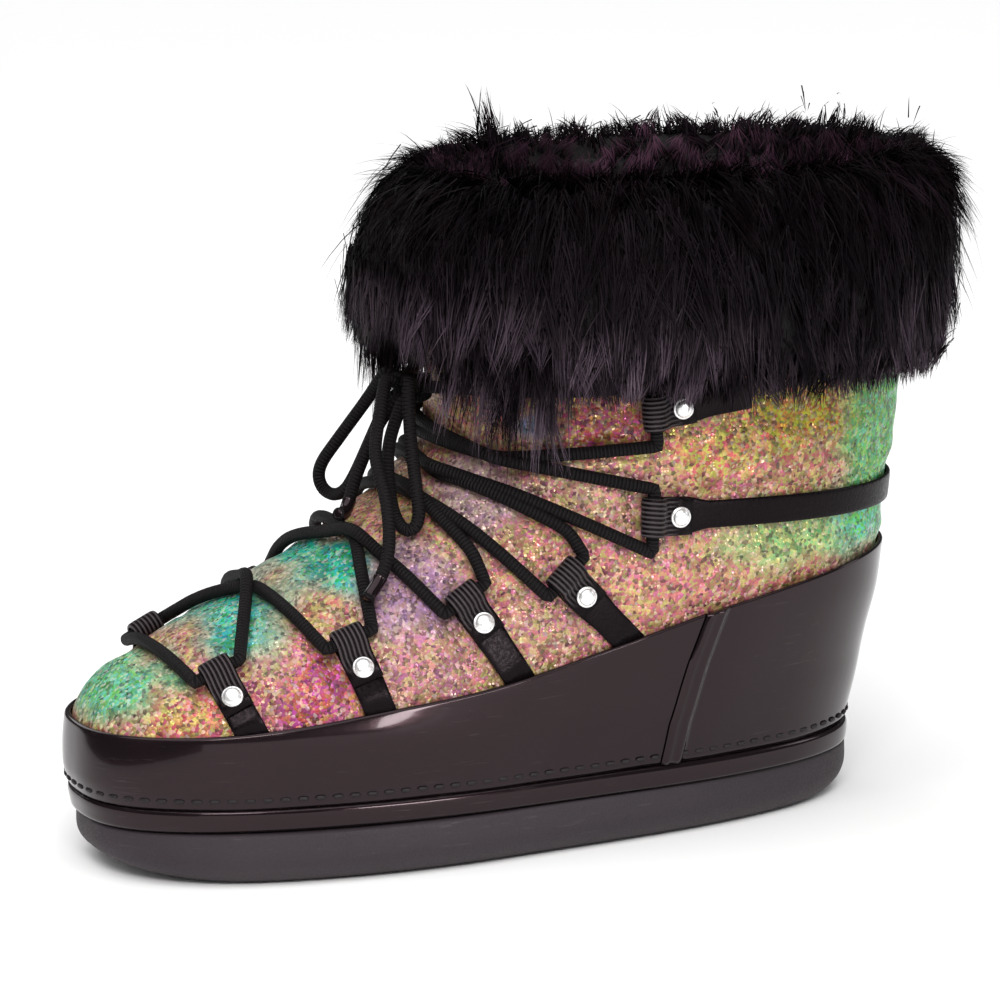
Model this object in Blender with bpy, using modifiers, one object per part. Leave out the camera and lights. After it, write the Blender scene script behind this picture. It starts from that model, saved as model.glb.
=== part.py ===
# Apres ski boot, one shoe. Every table is in millimetres: x to the photographed side, y from toe (minus)
# to heel (plus) measured from the middle of the sole, z up from the floor.
import math

import bmesh
import bpy
import numpy as np
from mathutils import Matrix, Vector

# Outer sizes. The sole is 286 long, a women's EU 38 in a padded boot.
SOLE = {"half_length": 143.0, "half_width": 59.0, "power": 2.5, "top": 18.5}
WAIST = {"depth": 0.07, "y": 25.0, "spread": 45.0, "heel_taper": 0.09, "gone_at": 95.0}
UPPER = {"wall": 2.6, "bottom": 18.8, "collar": 222.0}
GAP = 0.3
ORIGIN_Y = 15.4
ROUND = 42
SNUG = 0.6
STRAP = {"half": 5.3, "thick": 1.5, "eye": 2.7, "rivet_back": 9.8, "tail_back": 14.4}
RIVET = {"radius": 3.6, "height": 2.0}
RAND = {"thick": 2.0, "raised": 1.1, "strip": 0.06}
LACE = {"radius": 2.0, "lift": 4.5, "above": 3.5}

# The last: one ring per height, from length, ball width, instep and heel height.
SECTIONS = np.array([
    # height, toe, heel, widest, half_width, toe_power, heel_power
    (10, -137, 134, 20, 50.5, 2.5, 2.6),
    (19, -140, 137, 18, 53.5, 2.5, 2.6),
    (35, -145, 141, 12, 57.0, 2.5, 2.6),
    (50, -144, 144, 14, 58.5, 2.5, 2.6),
    (60, -136, 146, 22, 58.5, 2.4, 2.6),
    (75, -110, 149, 42, 58.0, 2.3, 2.6),
    (90, -80, 151, 58, 58.0, 2.2, 2.5),
    (105, -52, 153, 68, 58.5, 2.2, 2.4),
    (120, -28, 155, 73, 59.0, 2.2, 2.3),
    (135, -14, 157, 75, 59.5, 2.2, 2.2),
    (155, -11, 159, 75, 60.0, 2.2, 2.2),
    (180, -11, 161, 76, 60.5, 2.2, 2.2),
    (240, -12, 164, 76, 61.0, 2.2, 2.2),
], float)

# Top edge of the glossy rand, and the line of its raised side seam.
RAND_TOP = np.array([(-150, 51.0), (-137, 51.5), (-110, 52.5), (-81, 55), (-57, 58), (-25, 61.5), (0, 66), (27, 72),
                     (61, 80), (85, 84.5), (106, 88), (132, 92), (160, 94)], float)
SIDE_SEAM = np.array([(19, 46.0), (42, 48.5), (63, 54.5), (85, 63.0)], float)

# Lace loops: foot and loop centre on the photographed side.
LOOPS = [
    # number, foot (x, y, z), loop (x, y, z), half width of the loop
    (1, (45.5, -101, 53.5), (31.0, -106, 68.5), 5.3),
    (2, (54.0, -59, 60.0), (43.0, -64.5, 79.0), 5.5),
    (3, (57.0, -10, 66.5), (48.0, -25, 91.0), 5.7),
    (4, (57.0, 30, 75.5), (54.0, 9, 97.5), 6.2),
    (6, (60.0, 76, 155.5), (56.5, 41, 152.0), 6.0),
]
ANKLE = {"loop": (57.0, 40, 116.0), "back": (0.0, 154.5, 112.5), "half": 4.8, "loop_half": 6.6}

# Where the two halves of the lace cross on the instep, by the loops that they leave.
CROSSINGS = {1: (3.5, -81, 89.5), 2: (15.5, -48.5, 105.5), 3: (16.5, -26.5, 119), 4: (17, -18.5, 126), 5: (32.5, -2.5, 135)}
# Places that a strand leaving the back of a loop is drawn round first.
DRAWN = {(3, "near"): (43.0, -19, 105), (4, "near"): (51.5, 12, 112)}

# Fur cuff round the collar, by turn from the front.
FUR = np.array([
    # degrees, depth, bottom, top
    (0, 29.0, 174.0, 228.0),
    (35, 28.0, 168.0, 229.0),
    (60, 26.0, 156.5, 231.0),
    (95, 24.5, 154.5, 232.0),
    (140, 19.0, 155.5, 232.0),
    (180, 14.0, 157.0, 231.0),
], float)
# Its profile: share of the depth, share of the height from bottom to top, height of the locks there.
FUR_PROFILE = [
    # depth share, height share, lock height
    (0.16, 0.14, 0.0), (0.50, 0.05, 0.4), (0.84, 0.00, 1.0), (0.96, 0.10, 1.0), (1.00, 0.21, 0.5),
    (1.00, 0.33, 0.9), (0.99, 0.45, 1.0), (1.00, 0.55, 0.5), (0.99, 0.66, 0.9),
    (0.95, 0.78, 1.0), (0.84, 0.88, 0.7), (0.62, 0.96, 0.9), (0.36, 1.00, 0.8),
]

# Bow, free of the boot: points of each cord's middle line.
KNOT = {"centre": (0.0, -22.0, 156.0), "half": (8.5, 6.0, 6.0)}
BOW = {
    "lace_loop_far": [(-8.0, -25.5, 158), (-15, -32, 150), (-21, -41, 135), (-25, -47, 124), (-22, -46, 117), (-14, -43, 117),
                      (-9.5, -40, 124), (-7.5, -34, 138), (-5.0, -27.0, 151.5)],
    "lace_loop_near": [(8.0, -25.5, 158), (14, -29.5, 149), (20, -31, 135), (30, -33, 120), (34, -36, 113), (29, -39, 113),
                       (20, -39, 121), (11, -36, 137), (5.0, -27.0, 151.5)],
    "lace_end_far": [(0.0, -27.0, 152.0), (-1, -35, 142), (0, -42, 129), (3, -47, 119), (8, -51, 111)],
    "lace_end_near": [(0.0, -28.5, 157.5), (7.0, -37.0, 150), (16, -43, 136), (28, -44, 122), (38, -48, 106), (42, -57, 92)],
}


def eased(table, at):
    """Rows of the table at these places, smooth and without overshoot."""
    place, value = table[:, 0], table[:, 1:]
    width = np.diff(place)[:, None]
    step = np.diff(value, axis=0) / width
    slope = np.zeros_like(value)
    slope[0], slope[-1] = step[0], step[-1]
    both = step[:-1] * step[1:]
    safe = np.where(both > 0, step[:-1] + step[1:], 1.0)
    slope[1:-1] = np.where(both > 0, 2 * both / safe, 0.0)
    at = np.clip(np.atleast_1d(np.asarray(at, float)), place[0], place[-1])
    i = np.clip(np.searchsorted(place, at, side="right") - 1, 0, len(place) - 2)
    u, w = ((at - place[i]) / (place[i + 1] - place[i]))[:, None], width[i]
    return ((2 * u**3 - 3 * u**2 + 1) * value[i] + (u**3 - 2 * u**2 + u) * w * slope[i]
            + (3 * u**2 - 2 * u**3) * value[i + 1] + (u**3 - u**2) * w * slope[i + 1])


def plan(y, z):
    """Waist and narrower heel of the outline, fading out above the foot."""
    fade = np.clip((WAIST["gone_at"] - z) / (WAIST["gone_at"] - 20), 0, 1)
    back = np.clip((y - 10) / 90, 0, 1)
    waist = WAIST["depth"] * np.exp(-(((y - WAIST["y"]) / WAIST["spread"]) ** 2))
    return 1 - fade * (waist + WAIST["heel_taper"] * back * back * (3 - 2 * back))


def body(turn, z):
    """Point of the last's skin: turn in radians, minus 90 degrees at the toe and 0 at the photographed side."""
    turn, z = np.broadcast_arrays(np.asarray(turn, float), np.asarray(z, float))
    shape = turn.shape
    turn, z = turn.ravel(), z.ravel()
    toe, heel, widest, half, toe_power, heel_power = eased(SECTIONS, z).T
    c, s = np.cos(turn), np.sin(turn)
    power = np.where(s < 0, toe_power, heel_power)
    reach = np.where(s < 0, widest - toe, heel - widest)
    y = widest + reach * np.sign(s) * np.abs(s) ** (2 / power)
    x = half * np.sign(c) * np.abs(c) ** (2 / power) * plan(y, z)
    return np.stack([x, y, z], -1).reshape(shape + (3,))


def level(points):
    """Below 0 inside the last, above 0 outside it."""
    x, y, z = np.asarray(points, float).T
    toe, heel, widest, half, toe_power, heel_power = eased(SECTIONS, z).T
    front = y < widest
    power = np.where(front, toe_power, heel_power)
    reach = np.where(front, widest - toe, heel - widest)
    return (np.abs(x) / (half * plan(y, z))) ** power + (np.abs(y - widest) / reach) ** power - 1


def slope_of(points):
    steps = np.eye(3) * 0.05
    return np.stack([(level(points + s) - level(points - s)) / 0.1 for s in steps], -1)


def normal(points):
    flat = np.asarray(points, float).reshape(-1, 3)
    g = slope_of(flat)
    return (g / np.linalg.norm(g, axis=1, keepdims=True)).reshape(np.shape(points))


def skin(turn, z, out=0.0):
    points = body(turn, z)
    return points + normal(points) * np.asarray(out, float)[..., None]


def press(points, out=0.0):
    """The points moved onto the last's skin, then out along its normal."""
    p = np.array(points, float).reshape(-1, 3)
    for _ in range(12):
        g = slope_of(p)
        size = np.sum(g * g, axis=1, keepdims=True)
        p = p - np.clip(level(p)[:, None], -0.6, 0.6) * g / size
    return (p + normal(p) * np.reshape(out, (-1, 1))).reshape(np.shape(points))


def turn_at(y, z):
    """Turn on the photographed side where the skin passes y at this height."""
    toe, heel, widest, _, toe_power, heel_power = eased(SECTIONS, z).T
    front = y < widest
    power = np.where(front, toe_power, heel_power)
    reach = np.where(front, toe - widest, heel - widest)
    s = np.abs((y - widest) / reach) ** (power / 2)
    return np.arcsin(np.clip(s, 0, 1)) * np.where(front, -1, 1)


def turns(count):
    return (np.arange(count) + 0.5) * 2 * math.pi / count - math.pi / 2


# Objects
for old in list(bpy.data.objects):
    bpy.data.objects.remove(old)
boot = bpy.data.collections.new("apres_ski_boot")
cutters = bpy.data.collections.new("cutters")
bpy.context.scene.collection.children.link(boot)
bpy.context.scene.collection.children.link(cutters)
LOOKS = {
    # red, green, blue, roughness
    "rubber": (0.060, 0.050, 0.060, 0.75), "patent": (0.015, 0.013, 0.016, 0.12), "fabric": (0.45, 0.40, 0.36, 0.45),
    "fur": (0.020, 0.015, 0.018, 0.95), "strap": (0.012, 0.012, 0.014, 0.25), "metal": (0.85, 0.85, 0.86, 0.20),
    "cord": (0.012, 0.011, 0.013, 0.65), "felt": (0.10, 0.10, 0.11, 0.90),
}


def dress(obj, name, look, where=boot):
    """Names the object, moves it to its collection and gives it its material."""
    for old in list(obj.users_collection):
        old.objects.unlink(obj)
    where.objects.link(obj)
    obj.name = obj.data.name = name
    red, green, blue, rough = LOOKS[look]
    material = bpy.data.materials.new(name)
    material.use_nodes = True
    shader = material.node_tree.nodes["Principled BSDF"]
    shader.inputs["Base Color"].default_value = (red, green, blue, 1)
    shader.inputs["Roughness"].default_value = rough
    shader.inputs["Metallic"].default_value = 1.0 if look == "metal" else 0.0
    obj.data.materials.append(material)
    return obj


def placed(points):
    """Millimetres from the middle of the sole to metres from the part's origin."""
    return (np.asarray(points, float) - [0, ORIGIN_Y, 0]) * 0.001


def surface(name, grid, look, round_first=False, round_second=False, caps=False):
    """Mesh of grid[first, second]. Caps close both ends of a first-way loop whose halves mirror each other."""
    first, second = grid.shape[:2]
    index = np.arange(first * second).reshape(first, second)
    faces = []
    for k in range(second if round_second else second - 1):
        n = (k + 1) % second
        for j in range(first if round_first else first - 1):
            m = (j + 1) % first
            faces.append((index[j, k], index[m, k], index[m, n], index[j, n]))
    if caps:
        for k in (0, second - 1):
            for j in range(first // 2 - 1):
                faces.append((index[j, k], index[j + 1, k], index[first - 2 - j, k], index[first - 1 - j, k]))
    mesh = bpy.data.meshes.new(name)
    mesh.from_pydata(placed(grid.reshape(-1, 3)).tolist(), [], [tuple(map(int, f)) for f in faces])
    shape = bmesh.new()
    shape.from_mesh(mesh)
    bmesh.ops.recalc_face_normals(shape, faces=shape.faces)
    shape.to_mesh(mesh)
    shape.free()
    return dress(bpy.data.objects.new(name, mesh), name, look)


def shell(name, grid, look, thick, inward, round_second=False):
    """Open surface, grid[height, turn], made solid by Solidify. Its normals point out of the boot."""
    obj = surface(name, grid, look, round_second=round_second)
    normals = np.array([f.normal for f in obj.data.polygons])
    centres = np.array([f.center for f in obj.data.polygons])
    if np.sum(normals[:, :2] * (centres[:, :2] - [0, 0.02])) < 0:
        obj.data.flip_normals()
    solid = obj.modifiers.new("wall", "SOLIDIFY")
    solid.thickness = thick * 0.001
    solid.offset = -1 if inward else 1
    solid.use_even_offset = False
    return obj


def mirrored(source, name, look):
    """Copy of a piece for the other side of the boot."""
    mesh = source.data.copy()
    mesh.materials.clear()
    mesh.transform(Matrix.Scale(-1, 4, (1, 0, 0)))
    mesh.flip_normals()
    return dress(bpy.data.objects.new(name, mesh), name, look)


def tube(name, line, radius, look="cord"):
    """Round cord along the points."""
    curve = bpy.data.curves.new(name, "CURVE")
    curve.dimensions = "3D"
    curve.bevel_depth = radius * 0.001
    curve.bevel_resolution = 1
    curve.use_fill_caps = True
    path = curve.splines.new("POLY")
    path.points.add(len(line) - 1)
    for point, place in zip(path.points, placed(line)):
        point.co = (*place, 1)
    return dress(bpy.data.objects.new(name, curve), name, look)


# Outsole
OUTSOLE_PROFILE = np.array([
    # height, inset, share of the spring
    (18.5, 1.5, 0.0), (17.7, 0.2, 0.0), (11.5, 0.0, 0.3), (6.5, 0.8, 0.6), (3.2, 2.7, 0.85), (1.0, 5.8, 1.0), (0.0, 9.5, 1.0),
], float)
SPRING = {"toe_from": -96.0, "toe": 5.0, "heel_from": 112.0, "heel": 3.2}
# Hollows between the lugs: front edge, back edge, depth. The deep ones are the arch.
POCKETS = np.array([
    (-103, -95, 2.5), (-84, -76, 2.5), (-65, -57, 2.5), (-46, -38, 2.5), (-27, -19, 2.5), (-8, 12, 4.0), (20, 40, 4.5),
    (48, 60, 4.0), (71, 79, 2.5), (90, 98, 2.5),
], float)


def sole_outline(turn, inset):
    c, s = np.cos(turn), np.sin(turn)
    power = 2 / SOLE["power"]
    y = (SOLE["half_length"] - inset) * np.sign(s) * np.abs(s) ** power
    x = (SOLE["half_width"] - inset) * np.sign(c) * np.abs(c) ** power * plan(y, 20.0)
    return x, y


def outsole():
    turn = turns(ROUND)
    grid = np.zeros((ROUND, len(OUTSOLE_PROFILE), 3))
    for k, (height, inset, share) in enumerate(OUTSOLE_PROFILE):
        x, y = sole_outline(turn, inset)
        toe = np.clip((SPRING["toe_from"] - y) / 47, 0, 1) ** 2 * SPRING["toe"]
        heel = np.clip((y - SPRING["heel_from"]) / 31, 0, 1) ** 2 * SPRING["heel"]
        grid[:, k] = np.stack([x, y, height + share * (toe + heel)], -1)
    sole = surface("outsole", grid, "rubber", round_first=True, caps=True)
    for front, back, depth in POCKETS:
        y = max(abs(front), abs(back)) * np.sign(front + back)
        half = SOLE["half_width"] * (1 - abs(y / SOLE["half_length"]) ** SOLE["power"]) ** (1 / SOLE["power"])
        half = half * float(plan(y, 20.0)) - 16
        bpy.ops.mesh.primitive_cube_add(size=1)
        cutter = dress(bpy.context.object, "lug_hollow", "rubber", cutters)
        cutter.location = placed((0, (front + back) / 2, (depth - 4) / 2))
        cutter.scale = np.array((2 * half, back - front, depth + 4)) * 0.001
        cutter.hide_render = True
        cutter.display_type = "WIRE"
    cut = sole.modifiers.new("lugs", "BOOLEAN")
    cut.operation, cut.solver, cut.operand_type, cut.collection = "DIFFERENCE", "EXACT", "COLLECTION", cutters


def upper():
    heights = [UPPER["bottom"], 35, 44, 50, 55, 60, 65, 72, 81, 91, 101, 111, 120, 129, 140, 180, UPPER["collar"]]
    turn, height = np.meshgrid(turns(ROUND), heights)
    shell("upper", body(turn, height), "fabric", UPPER["wall"], inward=True, round_second=True)


def welt():
    profile = [(4.6, 18.8), (5.0, 22.0), (4.2, 25.8), (GAP, 26.6), (GAP, 18.8)]
    turn = turns(ROUND)
    grid = np.stack([skin(turn, np.full(ROUND, z), np.full(ROUND, out)) for out, z in profile])
    grid[:, :, 2] = np.array(profile)[:, 1:]
    surface("welt", grid, "patent", round_first=True, round_second=True)


def insole():
    low = skin(turns(ROUND), np.full(ROUND, UPPER["bottom"]), np.full(ROUND, -UPPER["wall"] - 0.5))
    low[:, 2] = UPPER["bottom"]
    surface("insole", np.stack([low, low + [0, 0, 3.8]], axis=1), "felt", round_first=True, caps=True)


def band(name, first, last, count, thick, raised=0.0):
    """Part of the rand between two side lines, each a turn at a height, with its first and last strip raised."""
    share = np.linspace(0, 1, count)
    low, rows = 27.0, 5
    way = np.sign(last(np.array([low]))[0] - first(np.array([low]))[0])
    top = np.full(count, 60.0)
    for _ in range(12):
        turn = first(top) + (last(top) - first(top)) * share
        top = np.interp(body(turn, top)[:, 1], RAND_TOP[:, 0], RAND_TOP[:, 1])
    grid = np.zeros((rows, count, 3))
    for k in range(rows):
        z = low + (top - low) * k / (rows - 1)
        turn = first(z) + (last(z) - first(z)) * share
        if raised:
            turn[1], turn[2] = turn[0] + way * RAND["strip"], turn[0] + way * (RAND["strip"] + 0.012)
            turn[-2], turn[-3] = turn[-1] - way * RAND["strip"], turn[-1] - way * (RAND["strip"] + 0.012)
        grid[k] = skin(turn, z, np.full(count, SNUG))
        grid[k, :, 2] = z
    obj = shell(name, grid, "patent", thick + raised, inward=False)
    if raised:
        thin = obj.vertex_groups.new(name="thin")
        index = np.arange(rows * count).reshape(rows, count)
        thin.add(index[:, 2:-2].ravel().tolist(), thick / (thick + raised), "REPLACE")
        thin.add(np.concatenate([index[:, :2].ravel(), index[:, -2:].ravel()]).tolist(), 1.0, "REPLACE")
        obj.modifiers["wall"].vertex_group = "thin"
    return obj


def seam_turn(z, gap):
    y = np.interp(z, SIDE_SEAM[:, 0], SIDE_SEAM[:, 1]) + gap
    return turn_at(y, z)


def rands():
    band("rand_front", lambda z: seam_turn(z, -0.2), lambda z: -math.pi - seam_turn(z, -0.2), 37, RAND["thick"])
    band("rand_heel", lambda z: seam_turn(z, 0.2), lambda z: math.pi - seam_turn(z, 0.2), 26, RAND["thick"], RAND["raised"])


# Fur cuff
def fur_cuff():
    count = 51
    turn = turns(count)
    angle = np.abs((np.degrees(turn) + 90 + 180) % 360 - 180)
    depth, bottom, top = eased(FUR, angle).T
    chance = np.random.default_rng(11)
    ridge = np.where(np.arange(count) % 3 == 1, 1.0, -0.55)
    rows = []
    for k, (share, height, lock) in enumerate(FUR_PROFILE):
        tier = 0 if k < 5 else 1 if k < 8 else 2
        shape = np.roll(ridge, tier) * (0.75 + 0.5 * chance.random(count))
        z = bottom + height * (top - bottom)
        lean = 1 - 0.62 * np.clip(1 - angle / 70, 0, 1) ** 0.7 * np.clip((height - 0.5) / 0.5, 0, 1)
        out = share * depth * lean + lock * 1.9 * shape
        z = z - shape * lock * {2: 3.4, 11: -2.6, 12: -3.4}.get(k, 0.7)
        rows.append((out, z))
    inner = [(np.full(count, -3.6), np.full(count, 229.0)), (np.full(count, -4.4), np.full(count, 225.0)),
             (np.full(count, GAP), np.full(count, 222.6)), (np.full(count, GAP), bottom * 0.55 + 222.6 * 0.45),
             (np.full(count, GAP), bottom + 12.5)]
    grid = np.stack([skin(turn, z, out) for out, z in rows + inner])
    for row, (_, z) in zip(grid, rows + inner):
        row[:, 2] = z
    surface("fur_cuff", grid, "fur", round_first=True, round_second=True)


# Straps, rivets and laces
def chain(points, spacing=None, count=None):
    """Smooth line through the points, evenly spaced."""
    p = np.asarray(points, float)
    p = np.vstack([2 * p[0] - p[1], p, 2 * p[-1] - p[-2]])
    fine = []
    for i in range(1, len(p) - 2):
        u = np.linspace(0, 1, 12, endpoint=False)[:, None]
        fine.append(0.5 * (2 * p[i] + (p[i + 1] - p[i - 1]) * u + (2 * p[i - 1] - 5 * p[i] + 4 * p[i + 1] - p[i + 2]) * u**2
                           + (3 * p[i] - p[i - 1] - 3 * p[i + 1] + p[i + 2]) * u**3))
    return even(np.vstack(fine + [p[-2:-1]]), spacing, count)


def even(line, spacing=None, count=None):
    run = np.concatenate([[0], np.cumsum(np.linalg.norm(np.diff(line, axis=0), axis=1))])
    count = count or max(2, int(round(run[-1] / spacing)) + 1)
    at = np.linspace(0, run[-1], count)
    return np.stack([np.interp(at, run, line[:, k]) for k in range(3)], -1)


def fold(length, both_ends):
    """Side view of a strap: (along, above the skin) of its middle line, folded back over a lace eye at the end."""
    low = SNUG + STRAP["thick"] / 2
    radius = STRAP["eye"] + STRAP["thick"] / 2
    high = low + STRAP["thick"] + 0.25
    turn = np.radians(np.linspace(-90, 125, 6))
    eye = [(length + radius * math.cos(a), low + radius + radius * math.sin(a)) for a in turn]
    back = [(length - 5.9, high + 0.35), (length - STRAP["rivet_back"], high), (length - STRAP["tail_back"], high)]
    end = eye + back
    inner = int(max(3, round((length - 4) / 9)))
    if not both_ends:
        return [(s, low) for s in np.linspace(0, length - 4, inner)] + end
    half = length / 2
    right = [(s, low) for s in np.linspace(half, length - 4, max(3, inner // 2))] + end
    left = [(length - s, n) for s, n in reversed(right[1:])]
    return left + right


def strap(name, line, side_width, loop_width, both_ends=False, on_rand=False):
    """Folded strip over the skin. The line runs on the skin to the loop's centre. It returns the loop and rivet places."""
    line = press(line)
    run = np.concatenate([[0], np.cumsum(np.linalg.norm(np.diff(line, axis=0), axis=1))])
    length = run[-1]
    line = np.vstack([line[0] + (line[0] - line[1]) * 12 / run[1], line, line[-1] + (line[-1] - line[-2]) * 12 / (run[-1] - run[-2])])
    run = np.concatenate([[-12], run, [run[-1] + 12]])

    def on_line(s):
        centre = press(np.array([[np.interp(s, run, line[:, k]) for k in range(3)]]))[0]
        ahead = np.array([np.interp(s + 1, run, line[:, k]) - np.interp(s - 1, run, line[:, k]) for k in range(3)])
        up = normal(centre[None])[0]
        ahead -= up * ahead @ up
        ahead /= np.linalg.norm(ahead)
        return centre, ahead, up, np.cross(up, ahead)

    path = np.array(fold(length, both_ends))
    tangent = np.gradient(path, axis=0)
    tangent /= np.linalg.norm(tangent, axis=1, keepdims=True)
    grid = np.zeros((6, len(path), 3))
    for k, ((s, above), (ts, ta)) in enumerate(zip(path, tangent)):
        near_end = min(length - s, s) if both_ends else length - s
        share = np.clip((22 - near_end) / 10, 0, 1)
        half = side_width + (loop_width - side_width) * share
        # The thickness runs across the folded path.
        layers = {}
        for layer in (1, -1):
            layers[layer] = on_line(s - layer * ta * STRAP["thick"] / 2)
        for j, (side, layer) in enumerate(((-1, 1), (0, 1), (1, 1), (1, -1), (0, -1), (-1, -1))):
            n2 = above + layer * ts * STRAP["thick"] / 2
            centre, ahead, up, across = layers[layer]
            reach = half - (0.35 if layer > 0 else 0.0)
            foot = press((centre + across * side * reach)[None])[0]
            rigid = centre + across * side * reach
            lift = np.clip((n2 - 3.4) / 1.5, 0, 1) if near_end < 16 else 0.0
            foot_up = normal(foot[None])[0]
            if k == 0 and on_rand:
                for _ in range(6):
                    short = np.interp(foot[1], RAND_TOP[:, 0], RAND_TOP[:, 1]) + 0.45 - foot[2]
                    foot = press((foot + ahead * short / max(ahead[2], 0.4))[None])[0]
                foot_up = normal(foot[None])[0]
            grid[j, k] = (foot + foot_up * n2) * (1 - lift) + (rigid + up * n2) * lift
    surface(name, grid, "strap", round_first=True, caps=True)
    ends = []
    for s, way in ((length, 1), (0.0, -1)) if both_ends else ((length, 1),):
        centre, ahead, up, across = on_line(s)
        eye = centre + up * (SNUG + STRAP["thick"] + STRAP["eye"])
        spot, _, spot_up, _ = on_line(s - way * STRAP["rivet_back"])
        top = SNUG + 2 * STRAP["thick"] + 0.25 + 0.45
        ends.append((eye, across, loop_width, spot + spot_up * top, spot_up))
    return ends


def rivet(name, foot, up):
    """Turned dome, standing on the strap."""
    profile = [(0.0, 1.0), (0.45, 1.0), (0.93, 0.5), (1.0, 0.0), (0.0, 0.0)]
    mesh = bpy.data.meshes.new(name)
    points = [(RIVET["radius"] * r * 0.001, 0, RIVET["height"] * h * 0.001) for r, h in profile]
    mesh.from_pydata(points, [(k, k + 1) for k in range(len(points) - 1)], [])
    obj = dress(bpy.data.objects.new(name, mesh), name, "metal")
    obj.location = placed(foot)
    obj.rotation_euler = Vector(up).to_track_quat("Z", "Y").to_euler()
    turned = obj.modifiers.new("turned", "SCREW")
    turned.angle = 2 * math.pi
    turned.steps = turned.render_steps = 8
    turned.use_merge_vertices, turned.merge_threshold = True, 0.0001
    turned.use_normal_calculate = turned.use_normal_flip = True


def taut(start, end, above, count=26):
    """The line a pulled lace takes from start to end over the last, its middle at least this far above the skin."""
    line = np.linspace(start, end, count)
    for _ in range(500):
        line[1:-1] = 0.5 * line[1:-1] + 0.25 * (line[:-2] + line[2:])
        g = slope_of(line)
        size = np.linalg.norm(g, axis=1, keepdims=True)
        far = level(line)[:, None] / size
        far = np.clip(far, -4, 40)
        short = np.clip(above - far, 0, 3) * 0.8
        short[[0, -1]] = 0
        line = line + g / size * short
    return line


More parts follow.
